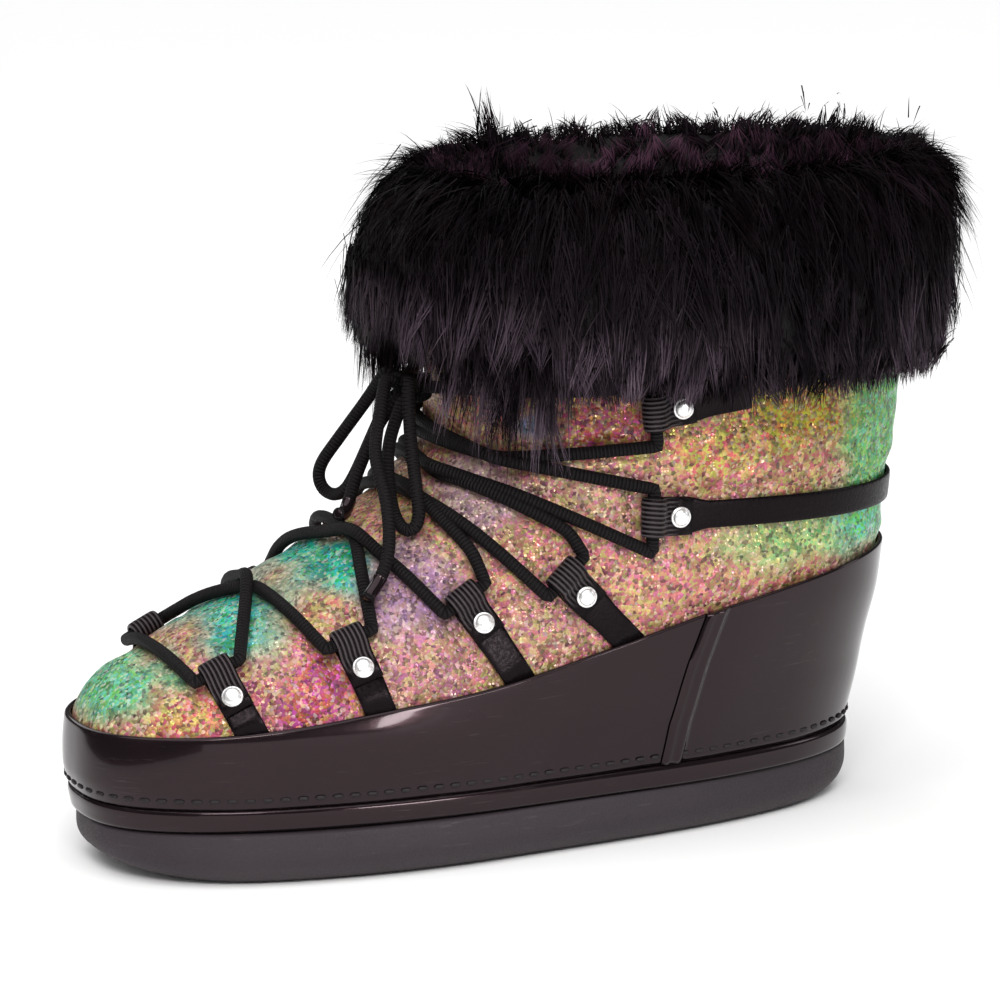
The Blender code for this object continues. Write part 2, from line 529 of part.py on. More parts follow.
def straps_and_laces():
    places = {}
    for number, foot, loop, loop_half in LOOPS:
        line = np.linspace(foot, loop, 12)
        for side, flip in (("near", 1), ("far", -1)):
            if flip == 1:
                ends = strap(f"strap_{number}_near", line, STRAP["half"] if number != 6 else 4.8, loop_half, on_rand=number != 6)
                places[number, "near"] = ends[0]
            else:
                eye, across, width, spot, up = places[number, "near"]
                places[number, "far"] = tuple(np.asarray(v) * [-1, 1, 1] if np.ndim(v) else v for v in (eye, across, width, spot, up))
                mirrored(boot.objects[f"strap_{number}_near"], f"strap_{number}_far", "strap")
    near, back = np.array(ANKLE["loop"]), np.array(ANKLE["back"])
    turn = np.linspace(float(turn_at(near[1:2], near[2:3])[0]), math.pi - float(turn_at(near[1:2], near[2:3])[0]), 61)
    share = np.sin(np.linspace(0, math.pi, 61)) ** 0.8
    line = body(turn, near[2] + (back[2] - near[2]) * share)
    ends = strap("ankle_strap", line, ANKLE["half"], ANKLE["loop_half"], both_ends=True)
    places[5, "far"], places[5, "near"] = ends
    for (number, side), (_, _, _, spot, up) in sorted(places.items()):
        rivet(f"rivet_{number}_{side}", spot, up)

    def through(number, side):
        """The lace inside a loop, from its low or front end to the other."""
        eye, across, width, _, _ = places[number, side]
        way = across * np.sign(across @ (np.array([0, 0, 1.0]) if number > 4 else np.array([0, 1.0, 0])))
        low = width + (5.5 if number > 4 else 3.0)
        return np.linspace(eye - way * low, eye + way * (width + 3.0), 9)

    def half_lace(first):
        """From the bottom bar up to the knot, starting on one side, with a mark on the points inside the loops."""
        other = {"near": "far", "far": "near"}
        side, pieces = first, [through(1, first)]
        marks = [np.ones(9)]
        for number in (2, 3, 4, 5, 6):
            side = other[side]
            nxt = through(number, side)
            cross = press(np.array([CROSSINGS[number - 1]]))[0]
            over = LACE["above"] + (LACE["lift"] if first == "near" else 0.0)
            cross = cross + normal(cross[None])[0] * over
            run = taut(pieces[-1][-1], cross, LACE["above"], 16)
            if (number - 1, other[side]) in DRAWN:
                way = press(np.array([DRAWN[number - 1, other[side]]]))[0]
                way = way + normal(way[None])[0] * LACE["above"]
                run = np.vstack([taut(pieces[-1][-1], way, LACE["above"], 7), taut(way, cross, LACE["above"], 10)[1:]])
            run = np.vstack([run, taut(cross, nxt[0], LACE["above"], 16)[1:]])
            if first == "near":
                rise = LACE["lift"] * np.exp(-((np.linalg.norm(run - cross, axis=1) / 9.0) ** 2))
                rise[15] = 0.0
                near_by = level(run) / np.linalg.norm(slope_of(run), axis=1)
                rise = np.clip(LACE["above"] + rise - near_by, 0, None)
                rise[15] = 0.0
                run = run + normal(run) * rise[:, None]
            run = even(run, spacing=2.0)[1:-1]
            pieces += [run, nxt]
            marks += [np.zeros(len(run)), np.ones(9)]
        sign = 1 if side == "near" else -1
        to_knot = np.array([sign * (KNOT["half"][0] + 0.4), KNOT["centre"][1] + 1.0, KNOT["centre"][2] + 1.0])
        tail = even(taut(pieces[-1][-1], to_knot, LACE["above"], 14), spacing=2.0)[1:]
        marks.append(np.zeros(len(tail)))
        marks[-1][-1] = 1
        return np.vstack(pieces + [tail]), np.concatenate(marks)

    (one, one_held), (two, two_held) = half_lace("near"), half_lace("far")
    bar = even(taut(two[0], one[0], LACE["above"]), spacing=2.0)[1:-1]
    line = np.vstack([two[::-1], bar, one])
    held = np.concatenate([two_held[::-1], np.zeros(len(bar)), one_held])[:, None]
    for _ in range(5):
        soft = line.copy()
        soft[1:-1] = 0.5 * line[1:-1] + 0.25 * (line[:-2] + line[2:])
        far = level(soft) / np.linalg.norm(slope_of(soft), axis=1)
        soft = soft + normal(soft) * np.clip(LACE["above"] - far, 0, 1)[:, None]
        line = np.where(held > 0, line, soft)
    # Points kept for the solid: both ends of each loop, three at each bend, and one every 12 on the runs.
    keep = np.zeros(len(line), bool)
    keep[[0, -1]] = True
    change = np.flatnonzero(np.diff(held[:, 0])) + 1
    for k in change:
        out = 1 if held[k, 0] == 0 else -1
        start = k if out > 0 else k - 1
        keep[[start - out, start + out, start + 3 * out]] = True
    last = 0
    for k in range(1, len(line) - 1):
        if keep[k]:
            last = k
        elif not held[k, 0] and np.linalg.norm(line[k] - line[last]) > 15 and not keep[k:k + 3].any():
            keep[k] = True
            last = k
    tube("lace_crossings", line[keep], LACE["radius"])
    return line


def leave_knot(place):
    """Two points straight out of the knot, towards this place."""
    away = (place - KNOT["centre"]) / KNOT["half"]
    away /= np.linalg.norm(away)
    facing = away / KNOT["half"]
    start = KNOT["centre"] + away * KNOT["half"] + facing / np.linalg.norm(facing) * 0.4
    return np.array([start, start + facing / np.linalg.norm(facing) * 4.0])


def bow(crossings):
    bpy.ops.mesh.primitive_uv_sphere_add(segments=12, ring_count=8, radius=1)
    knot = dress(bpy.context.object, "lace_knot", "cord")
    knot.location, knot.scale = placed(KNOT["centre"]), np.array(KNOT["half"]) * 0.001
    for name, points in BOW.items():
        points = np.array(points, float)
        first, last = leave_knot(points[0]), leave_knot(points[-1])
        if "loop" in name:
            points = np.vstack([first, points[1:-1], last[::-1]])
        else:
            points = np.vstack([first, points[1:]])
        line = chain(points, spacing=2.0)
        free = np.clip((np.arange(len(line)) - 2) / 4, 0, 1)
        if "loop" in name:
            free = np.minimum(free, free[::-1])
        for _ in range(14):
            apart = np.linalg.norm(line[:, None] - crossings[None], axis=2).min(axis=1)
            short = np.clip(2 * LACE["radius"] + 0.8 - apart, 0, 1.0)
            above = np.clip(LACE["radius"] + 0.9 - level(line) / np.linalg.norm(slope_of(line), axis=1), 0, 1.0)
            line = line + normal(line) * (np.maximum(short, above) * free)[:, None]
            line[3:-3] = 0.8 * line[3:-3] + 0.1 * (line[2:-4] + line[4:-2])
        tube(name, even(line, spacing=5.0), LACE["radius"])


outsole()
welt()
insole()
upper()
rands()
fur_cuff()
bow(straps_and_laces())
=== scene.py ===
# Apres ski boot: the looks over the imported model. Tables are in millimetres: x to the photographed side,
# y from toe (minus) to heel (plus) measured from the middle of the sole, z up from the floor.
import math

import bmesh
import bpy
import numpy as np
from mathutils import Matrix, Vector


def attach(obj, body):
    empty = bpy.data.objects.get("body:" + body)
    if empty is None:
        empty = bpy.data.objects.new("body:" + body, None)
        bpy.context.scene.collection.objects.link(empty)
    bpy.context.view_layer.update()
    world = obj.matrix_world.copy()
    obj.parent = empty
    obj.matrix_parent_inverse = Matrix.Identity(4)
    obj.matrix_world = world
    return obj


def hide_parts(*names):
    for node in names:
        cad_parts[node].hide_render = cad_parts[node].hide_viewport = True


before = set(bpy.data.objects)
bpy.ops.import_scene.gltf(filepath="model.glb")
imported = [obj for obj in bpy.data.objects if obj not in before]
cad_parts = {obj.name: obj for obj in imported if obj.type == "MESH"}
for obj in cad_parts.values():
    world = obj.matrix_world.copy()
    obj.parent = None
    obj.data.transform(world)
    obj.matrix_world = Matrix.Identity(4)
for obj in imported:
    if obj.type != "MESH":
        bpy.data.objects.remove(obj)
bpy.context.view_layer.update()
scene = bpy.context.scene
originY = 15.4  # the part's origin, on the table's y


# Helpers for objects and nodes
def addObject(name, data):
    made = bpy.data.objects.new(name, data)
    scene.collection.objects.link(made)
    return made


def setSockets(tree, made, values):
    # A socket is linked and a value is set. A colour of three gets its alpha.
    for key, value in values.items():
        socket = made.inputs[key]
        if isinstance(value, bpy.types.NodeSocket):
            tree.links.new(value, socket)
        else:
            socket.default_value = (*value, 1) if socket.type == "RGBA" else value


def node(tree, kind, inputs=None, **settings):
    made = tree.nodes.new(kind)
    for key, value in settings.items():
        setattr(made, key, value)
    setSockets(tree, made, inputs or {})
    return made


def maths(tree, operation, first, second=0.0, third=0.0):
    return node(tree, "ShaderNodeMath", {0: first, 1: second, 2: third}, operation=operation).outputs[0]


def dress(material, **sockets):
    # Values or textures for the shader's sockets, named with _ for a space.
    tree = material.node_tree
    setSockets(tree, tree.nodes["Principled BSDF"], {key.replace("_", " "): value for key, value in sockets.items()})
    return material


def newMaterial(name, **sockets):
    material = bpy.data.materials.new(name)
    material.use_nodes = True
    return dress(material, **sockets), material.node_tree


# Camera, light and floor


view = {
    # degrees from the toe and above the floor, metres to the target, lens and sensor in millimetres
    "azimuth": 65.0, "elevation": 12.0, "distance": 1.56, "target": (0.0, -0.0044, 0.113), "lens": 162.0, "sensor": 36.0,
}
studio = {
    "lamps": [
        # name, place in metres, width, height, watts, colour
        ("key", (1.5, -0.7, 1.3), 0.7, 0.5, 17.0, (1.0, 0.985, 0.97)),
        ("front", (0.6, -1.8, 0.8), 0.35, 0.9, 4.0, (1.0, 0.97, 0.97)),
        ("back", (0.5, 1.7, 0.9), 0.5, 0.7, 4.0, (0.97, 0.98, 1.0)),
        ("far", (-1.5, -0.3, 1.0), 0.7, 0.7, 3.0, (1.0, 1.0, 1.0)),
        ("glint", (1.25, 0.24, 0.24), 0.36, 0.20, 6.5, (1.0, 1.0, 1.0)),
    ],
    "lampTarget": (0.0, 0.0, 0.1),
    # a wide sun from above: place, strength, spread in degrees
    "overhead": ((0.5, -0.35, 2.0), 2.55, 80),
    # the world's strength as fill, and what it loses in gloss
    "fill": 0.30, "lostInGloss": 0.22,
    # half its side in metres, colour, roughness
    "floor": (9, (0.95, 0.95, 0.95), 0.8),
    # a black card beside the toe, seen in the gloss only: ends on the floor and height in metres, colour
    "card": ((-0.42, -0.46), (0.26, -0.26), 0.30, (0.004, 0.004, 0.004)),
}


def lookAt(obj, place, target):
    # Turned so that its own -Z runs from place to target.
    obj.location = place
    obj.rotation_mode = "QUATERNION"
    obj.rotation_quaternion = (Vector(target) - Vector(place)).to_track_quat("-Z", "Y")


def makeCamera():
    azimuth, elevation = math.radians(view["azimuth"]), math.radians(view["elevation"])
    level = math.cos(elevation)
    back = Vector((math.sin(azimuth) * level, -math.cos(azimuth) * level, math.sin(elevation)))
    data = bpy.data.cameras.new("camera")
    data.lens, data.sensor_width = view["lens"], view["sensor"]
    data.clip_start, data.clip_end = 0.05, 30.0
    camera = addObject("camera", data)
    lookAt(camera, Vector(view["target"]) + back * view["distance"], view["target"])
    scene.camera = camera


def makeLamps():
    for name, place, width, height, watts, colour in studio["lamps"]:
        data = bpy.data.lights.new(name, "AREA")
        data.shape, data.size, data.size_y, data.energy, data.color = "RECTANGLE", width, height, watts, colour
        lamp = addObject(name, data)
        lookAt(lamp, place, studio["lampTarget"])
        lamp.visible_diffuse = name != "glint"  # this one is seen in gloss only
    place, strength, spread = studio["overhead"]
    sun = bpy.data.lights.new("overhead", "SUN")
    sun.energy, sun.angle = strength, math.radians(spread)
    lookAt(addObject("overhead", sun), place, (0, 0, 0))


def makeWorld():
    # White to the camera, soft grey as fill, and darker in gloss.
    world = bpy.data.worlds.new("studio")
    scene.world = world
    world.use_nodes = True
    tree = world.node_tree
    ray = tree.nodes.new("ShaderNodeLightPath").outputs
    fill = maths(tree, "MULTIPLY_ADD", ray["Is Glossy Ray"], -studio["lostInGloss"], studio["fill"])
    strength = maths(tree, "MAXIMUM", ray["Is Camera Ray"], fill)
    setSockets(tree, tree.nodes["Background"], {"Color": (1, 1, 1), "Strength": strength})
    scene.view_settings.view_transform = "Standard"


def makePlane(name, corners, materialName, **sockets):
    mesh = bpy.data.meshes.new(name)
    mesh.from_pydata(corners, [], [(0, 1, 2, 3)])
    mesh.materials.append(newMaterial(materialName, **sockets)[0])
    plane = addObject(name, mesh)
    return plane


def makeFloorAndCard():
    half, colour, roughness = studio["floor"]
    corners = [(-half, -half, 0), (half, -half, 0), (half, half, 0), (-half, half, 0)]
    makePlane("floor", corners, "floor_paper", Base_Color=colour, Roughness=roughness)
    first, last, top, colour = studio["card"]
    corners = [(*first, 0.001), (*last, 0.001), (*last, top), (*first, top)]
    card = makePlane("dark_card", corners, "card_black", Base_Color=colour, Specular_IOR_Level=0.0)
    card.visible_camera = card.visible_shadow = card.visible_diffuse = False


makeCamera()
makeLamps()
makeWorld()
makeFloorAndCard()
print("studio made")


# Lines and vectors
def smoothStep(x):
    x = np.clip(x, 0, 1)
    return x * x * (3 - 2 * x)


def unit(vectors):
    return vectors / np.linalg.norm(vectors, axis=-1, keepdims=True)


def ringTurns(count):
    return np.arange(count) * 2 * math.pi / count


def runOf(line):
    # Way along the line from its start to each of its points.
    return np.concatenate([[0], np.cumsum(np.linalg.norm(np.diff(line, axis=0), axis=1))])


def lineAt(line, run, at):
    return np.stack([np.interp(at, run, line[:, k]) for k in range(3)], -1)


def evenLine(line, spacing=None, count=None):
    run = runOf(line)
    count = count or max(2, int(round(run[-1] / spacing)) + 1)
    return lineAt(line, run, np.linspace(0, run[-1], count))


def smoothLine(points, spacing=None, count=None):
    # Catmull-Rom curve through the points, evenly spaced.
    p = np.asarray(points, float)
    p = np.vstack([2 * p[0] - p[1], p, 2 * p[-1] - p[-2]])
    u = np.linspace(0, 1, 12, endpoint=False)[None, :, None]
    a, b, c, d = (p[k:len(p) - 3 + k][:, None] for k in range(4))
    fine = 0.5 * (2 * b + (c - a) * u + (2 * a - 5 * b + 4 * c - d) * u**2 + (3 * b - a - 3 * c + d) * u**3)
    return evenLine(np.vstack([fine.reshape(-1, 3), p[-2:-1]]), spacing, count)


def inMetres(points):
    # Millimetres from the middle of the sole to metres from the part's origin.
    return (np.asarray(points, float) - [0, originY, 0]) * 0.001


# The last, from the part's own sections


rings = np.array([
    # height, toe, heel, widest, half width, toe power, heel power
    (10, -137, 134, 20, 50.5, 2.5, 2.6), (19, -140, 137, 18, 53.5, 2.5, 2.6), (35, -145, 141, 12, 57.0, 2.5, 2.6),
    (50, -144, 144, 14, 58.5, 2.5, 2.6), (60, -136, 146, 22, 58.5, 2.4, 2.6), (75, -110, 149, 42, 58.0, 2.3, 2.6),
    (90, -80, 151, 58, 58.0, 2.2, 2.5), (105, -52, 153, 68, 58.5, 2.2, 2.4), (120, -28, 155, 73, 59.0, 2.2, 2.3),
    (135, -14, 157, 75, 59.5, 2.2, 2.2), (155, -11, 159, 75, 60.0, 2.2, 2.2), (180, -11, 161, 76, 60.5, 2.2, 2.2),
    (240, -12, 164, 76, 61.0, 2.2, 2.2),
], float)
waist = {
    "depth": 0.07, "y": 25.0, "spread": 45.0, "heelTaper": 0.09, "heelFrom": 10.0, "heelRun": 90.0,
    # heights where the narrowing is full and where it is gone
    "fullAt": 20.0, "goneAt": 95.0,
}


def eased(table, at):
    # Rows of the table at these places: cubic pieces whose slope at a row is the harmonic mean of the steps beside it.
    place, value = table[:, 0], table[:, 1:]
    width = np.diff(place)[:, None]
    step = np.diff(value, axis=0) / width
    slope = np.zeros_like(value)
    slope[0], slope[-1] = step[0], step[-1]
    both = step[:-1] * step[1:]
    safe = np.where(both > 0, step[:-1] + step[1:], 1.0)
    slope[1:-1] = np.where(both > 0, 2 * both / safe, 0.0)
    at = np.clip(np.atleast_1d(np.asarray(at, float)), place[0], place[-1])
    i = np.clip(np.searchsorted(place, at, side="right") - 1, 0, len(place) - 2)
    u, w = ((at - place[i]) / (place[i + 1] - place[i]))[:, None], width[i]
    return ((2 * u**3 - 3 * u**2 + 1) * value[i] + (u**3 - 2 * u**2 + u) * w * slope[i]
            + (3 * u**2 - 2 * u**3) * value[i + 1] + (u**3 - u**2) * w * slope[i + 1])


def planShare(y, z):
    # Width share: 1 less a bell at the waist and an eased step to the heel, both fading out with height.
    fade = np.clip((waist["goneAt"] - z) / (waist["goneAt"] - waist["fullAt"]), 0, 1)
    dip = waist["depth"] * np.exp(-(((y - waist["y"]) / waist["spread"]) ** 2))
    return 1 - fade * (dip + waist["heelTaper"] * smoothStep((y - waist["heelFrom"]) / waist["heelRun"]))


def lastPoint(turn, z):
    # Superellipse round the ring at z: y = widest + reach sign(sin) |sin|^(2/p), x = half sign(cos) |cos|^(2/p).
    turn, z = np.broadcast_arrays(np.asarray(turn, float), np.asarray(z, float))
    shape = turn.shape
    turn, z = turn.ravel(), z.ravel()
    toe, heel, widest, half, toePower, heelPower = eased(rings, z).T
    c, s = np.cos(turn), np.sin(turn)
    power = np.where(s < 0, toePower, heelPower)
    reach = np.where(s < 0, widest - toe, heel - widest)
    y = widest + reach * np.sign(s) * np.abs(s) ** (2 / power)
    x = half * np.sign(c) * np.abs(c) ** (2 / power) * planShare(y, z)
    return np.stack([x, y, z], -1).reshape(shape + (3,))


def lastLevel(points):
    # |x / half|^p + |(y - widest) / reach|^p - 1: below 0 inside the last and above 0 outside.
    x, y, z = np.asarray(points, float).T
    toe, heel, widest, half, toePower, heelPower = eased(rings, z).T
    front = y < widest
    power = np.where(front, toePower, heelPower)
    reach = np.where(front, widest - toe, heel - widest)
    return (np.abs(x) / (half * planShare(y, z))) ** power + (np.abs(y - widest) / reach) ** power - 1


def lastSlope(points):
    step = 0.05
    return np.stack([(lastLevel(points + s) - lastLevel(points - s)) / (2 * step) for s in np.eye(3) * step], -1)


def lastNormal(points):
    return unit(lastSlope(np.reshape(points, (-1, 3)))).reshape(np.shape(points))


def skinPoint(turn, z, out=0.0):
    # Point of the last moved out along its normal.
    points = lastPoint(turn, z)
    return points + lastNormal(points) * np.asarray(out, float)[..., None]


def pressed(points, out=0.0):
    # The points moved onto the last's skin by Newton steps, then out along its normal.
    p = np.array(points, float).reshape(-1, 3)
    for _ in range(12):
        g = lastSlope(p)
        p = p - np.clip(lastLevel(p)[:, None], -0.6, 0.6) * g / np.sum(g * g, axis=1, keepdims=True)
    return (p + lastNormal(p) * np.reshape(out, (-1, 1))).reshape(np.shape(points))


def turnAtY(y, z):
    # Turn on the photographed side where the skin passes y at this height.
    toe, heel, widest, _, toePower, heelPower = eased(rings, z).T
    front = y < widest
    power = np.where(front, toePower, heelPower)
    reach = np.where(front, toe - widest, heel - widest)
    return np.arcsin(np.clip(np.abs((y - widest) / reach) ** (power / 2), 0, 1)) * np.where(front, -1, 1)


# Mesh making


def declare(obj, replaced):
    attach(obj, "root")
    if replaced:
        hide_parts(*replaced)
    return obj


def meshFrom(name, points, faces, material, uv=None, slotName=None, replaced=(), recalculated=True):
    # Mesh object at the origin from points in metres and faces of one size, as arrays.
    mesh = bpy.data.meshes.new(name)
    mesh.vertices.add(len(points))
    mesh.vertices.foreach_set("co", np.asarray(points, np.float32).ravel())
    mesh.loops.add(faces.size)
    mesh.loops.foreach_set("vertex_index", faces.astype(np.int32).ravel())
    mesh.polygons.add(len(faces))
    mesh.polygons.foreach_set("loop_start", np.arange(0, faces.size, faces.shape[1], dtype=np.int32))
    mesh.update(calc_edges=True)
    mesh.polygons.foreach_set("use_smooth", np.ones(len(faces), bool))
    if uv is not None:
        mesh.uv_layers.new(name="uv").data.foreach_set("uv", np.asarray(uv, np.float32).ravel())
    if recalculated:
        shape = bmesh.new()
        shape.from_mesh(mesh)
        bmesh.ops.recalc_face_normals(shape, faces=shape.faces)
        shape.to_mesh(mesh)
        shape.free()
    mesh.materials.append(material)
    return declare(addObject(name, mesh), replaced)


def gridFaces(first, second, wrapFirst=False, wrapSecond=False):
    # Quads of a grid of points, and the (first, second) place of each corner before it wraps.
    steps = np.arange(first if wrapFirst else first - 1), np.arange(second if wrapSecond else second - 1)
    j, k = np.meshgrid(*steps, indexing="ij")
    corners = np.stack([np.stack([j + a, k + b], -1) for a, b in ((0, 0), (1, 0), (1, 1), (0, 1))], -2).reshape(-1, 4, 2)
    return (corners[..., 0] % first) * second + corners[..., 1] % second, corners


def split(quads):
    # Corners, or what is held at them, of two triangles for each quad.
    return np.concatenate([quads[:, [0, 1, 2]], quads[:, [0, 2, 3]]])


def gridPiece(name, grid, material, wrapFirst=False, wrapSecond=False, caps=False, scale=None, places=None, **given):
    # Surface of grid[first, second]. Caps close both ends of the second way with a fan to the ring's middle.
    first, second = grid.shape[:2]
    faces, corners = gridFaces(first, second, wrapFirst, wrapSecond)
    uv = corners * (scale or (1.0 / first, 1.0 / second)) if places is None else places.reshape(-1, 2)[faces]
    points = inMetres(grid.reshape(-1, 3))
    if caps:
        here = np.arange(first)[:, None] * second
        following, middle = np.roll(here, -1), np.full((first, 1), len(points))
        low = np.hstack([here, following, middle])
        high = np.hstack([following + second - 1, here + second - 1, middle + 1])
        points = np.vstack([points, inMetres(grid[:, [0, -1]].mean(axis=0))])
        faces = np.vstack([split(faces), low, high])
        uv = np.vstack([split(uv), np.zeros((2 * first, 3, 2))])
    return meshFrom(name, points, faces, material, uv=uv, **given)


def frameAlong(line):
    # Tangent and two side vectors carried along the line without twist.
    tangent = unit(np.gradient(line, axis=0))
    sides = [unit(np.cross(tangent[0], [0.3, 0.2, 0.9]))]
    for t in tangent[1:]:
        sides.append(unit(sides[-1] - t * (sides[-1] @ t)))
    sides = np.array(sides)
    return tangent, sides, np.cross(tangent, sides)


def tubeGrid(line, radius, count):
    # Ring of count points round each point of the line: p + r (cos a side + sin a other).
    _, side, other = frameAlong(line)
    a = ringTurns(count)[None, :, None]
    radius = np.broadcast_to(np.asarray(radius, float), (len(line),))[:, None, None]
    return (line[:, None] + radius * (np.cos(a) * side[:, None] + np.sin(a) * other[:, None])).transpose(1, 0, 2)


# Shader helpers


def times(tree, first, second):
    return maths(tree, "MULTIPLY", first, second)


def vector(tree, operation, first, second=(0.0, 0.0, 0.0)):
    return node(tree, "ShaderNodeVectorMath", {0: first, 1: second}, operation=operation).outputs[0]


def mixed(tree, share, first, second):
    return node(tree, "ShaderNodeMix", {0: share, 6: first, 7: second}, data_type="RGBA", clamp_factor=True).outputs[2]


def ranged(tree, value, low, high, toLow=0.0, toHigh=1.0, kind="SMOOTHSTEP"):
    inputs = {"Value": value, "From Min": low, "From Max": high, "To Min": toLow, "To Max": toHigh}
    return node(tree, "ShaderNodeMapRange", inputs, interpolation_type=kind).outputs["Result"]


def noise(tree, where, scale, detail=3.0, rough=0.5):
    inputs = {"Vector": where, "Scale": scale, "Detail": detail, "Roughness": rough}
    return node(tree, "ShaderNodeTexNoise", inputs).outputs["Fac"]


def stretchedNoise(tree, where, scale, detail, rough, turned=(0.0, 0.0, 0.0)):
    inputs = {"Vector": where, "Rotation": turned, "Scale": scale}
    return noise(tree, node(tree, "ShaderNodeMapping", inputs).outputs[0], 1.0, detail, rough)


def objectPlace(tree):
    return node(tree, "ShaderNodeTexCoord").outputs["Object"]


def parts(tree, source):
    # x, y and z of the Object or UV coordinates.
    return node(tree, "ShaderNodeSeparateXYZ", {0: node(tree, "ShaderNodeTexCoord").outputs[source]}).outputs


def bump(tree, height, distance, strength):
    return node(tree, "ShaderNodeBump", {"Height": height, "Distance": distance, "Strength": strength}).outputs["Normal"]


def makeWearGroup():
    # Soft blotches, fine dust and thin scuffs, each 0 to 1 over the surface.
    tree = bpy.data.node_groups.new("surfaceWear", "ShaderNodeTree")
    for way, label, kind in (("INPUT", "Place", "Vector"), ("INPUT", "Blotch Scale", "Float"),
    ("INPUT", "Grain Scale", "Float"),
                             ("OUTPUT", "Blotch", "Float"), ("OUTPUT", "Grain", "Float"), ("OUTPUT", "Scuff", "Float")):
        tree.interface.new_socket(name=label, in_out=way, socket_type="NodeSocket" + kind)
    given, out = tree.nodes.new("NodeGroupInput").outputs, tree.nodes.new("NodeGroupOutput")
    blotch = noise(tree, given["Place"], given["Blotch Scale"], 4.0, 0.55)
    grain = noise(tree, given["Place"], given["Grain Scale"], 2.0, 0.6)
    scratch = stretchedNoise(tree, given["Place"], (60.0, 60.0, 900.0), 5.0, 0.62, (0.3, 0.5, 0.2))
    scuff = times(tree, ranged(tree, scratch, 0.60, 0.72), ranged(tree, blotch, 0.45, 0.65))
    setSockets(tree, out, {"Blotch": blotch, "Grain": grain, "Scuff": scuff})
    return tree


wearGroup = makeWearGroup()


def wear(tree, blotchScale, grainScale):
    inputs = {"Place": objectPlace(tree), "Blotch Scale": blotchScale, "Grain Scale": grainScale}
    made = node(tree, "ShaderNodeGroup", inputs, node_tree=wearGroup)
    return [made.outputs[label] for label in ("Blotch", "Grain", "Scuff")]


# Materials


def makeRubber():
    material, tree = newMaterial("sole_rubber", Specular_IOR_Level=0.35)
    blotch, grain, scuff = wear(tree, 22.0, 1600.0)
    nearFloor = ranged(tree, parts(tree, "Object")[2], 0.010, 0.0)
    colour = mixed(tree, blotch, (0.018, 0.012, 0.016), (0.030, 0.021, 0.027))
    colour = mixed(tree, times(tree, nearFloor, 0.35), colour, (0.065, 0.052, 0.058))
    colour = mixed(tree, times(tree, scuff, 0.3), colour, (0.11, 0.095, 0.10))
    rough = ranged(tree, grain, 0.3, 0.7, 0.52, 0.72)
    return dress(material, Base_Color=colour, Roughness=rough, Normal=bump(tree, grain, 0.00012, 0.6))


def makePatent():
    material, tree = newMaterial("patent", Coat_Weight=0.2, Coat_Roughness=0.05, Specular_IOR_Level=0.22,
                                 Specular_Tint=(1.0, 0.64, 0.72))
    blotch, _, scuff = wear(tree, 16.0, 1100.0)
    colour = mixed(tree, blotch, (0.0040, 0.0026, 0.0032), (0.0105, 0.0068, 0.0078))
    colour = mixed(tree, times(tree, scuff, 0.25), colour, (0.07, 0.06, 0.06))
    slow = noise(tree, objectPlace(tree), 26.0, 1.5, 0.4)
    fine = noise(tree, objectPlace(tree), 190.0, 2.0, 0.5)
    rough = ranged(tree, blotch, 0.35, 0.7, 0.10, 0.22)
    normal = bump(tree, maths(tree, "ADD", slow, times(tree, fine, 0.05)), 0.0011, 0.6)
    return dress(material, Base_Color=colour, Roughness=rough, Normal=normal)


# Tints of the glitter by place: (x, y, z), reach in x, y and z, colour, strength


glitterTints = [
    ("toe green", (8, -132, 66), (52, 18, 12), (0.30, 0.68, 0.42), 0.8),
    ("toe orange", (44, -120, 58), (24, 24, 12), (0.90, 0.54, 0.36), 0.8),
    ("first pink", (50, -80, 62), (24, 22, 16), (0.74, 0.27, 0.33), 0.8),
    ("vamp teal", (12, -92, 86), (30, 20, 14), (0.20, 0.62, 0.50), 0.8),
    ("second teal", (14, -60, 101), (24, 18, 12), (0.16, 0.56, 0.44), 0.8),
    ("mauve", (40, -42, 92), (24, 20, 18), (0.54, 0.36, 0.52), 0.6),
    ("second pink", (54, -40, 70), (18, 26, 13), (0.78, 0.42, 0.42), 0.6),
    ("instep mauve", (40, -14, 122), (28, 14, 18), (0.60, 0.44, 0.50), 0.5),
    ("quarter rose", (57, 40, 92), (22, 48, 20), (0.98, 0.58, 0.46), 0.6),
    ("front rose", (56, 4, 84), (20, 20, 15), (0.80, 0.48, 0.42), 0.55),
    ("band rose", (56, 28, 124), (18, 30, 12), (0.90, 0.58, 0.48), 0.6),
    ("heel lime", (54, 96, 104), (30, 30, 13), (0.66, 0.82, 0.42), 0.8),
    ("heel mint", (40, 136, 106), (50, 30, 16), (0.34, 0.84, 0.52), 0.8),
    ("back mint", (30, 152, 140), (60, 34, 40), (0.24, 0.70, 0.32), 0.8),
    ("mint edge", (44, 130, 138), (34, 20, 26), (0.30, 0.72, 0.30), 0.75),
    ("throat rust", (54, 26, 152), (18, 18, 12), (0.66, 0.28, 0.24), 0.75),
    ("throat blue", (48, 4, 152), (12, 10, 8), (0.14, 0.30, 0.52), 0.55),
    ("gold band", (56, 96, 146), (20, 30, 12), (0.66, 0.54, 0.18), 0.7),
    ("peach band", (56, 62, 136), (20, 24, 12), (0.96, 0.66, 0.36), 0.6),
]


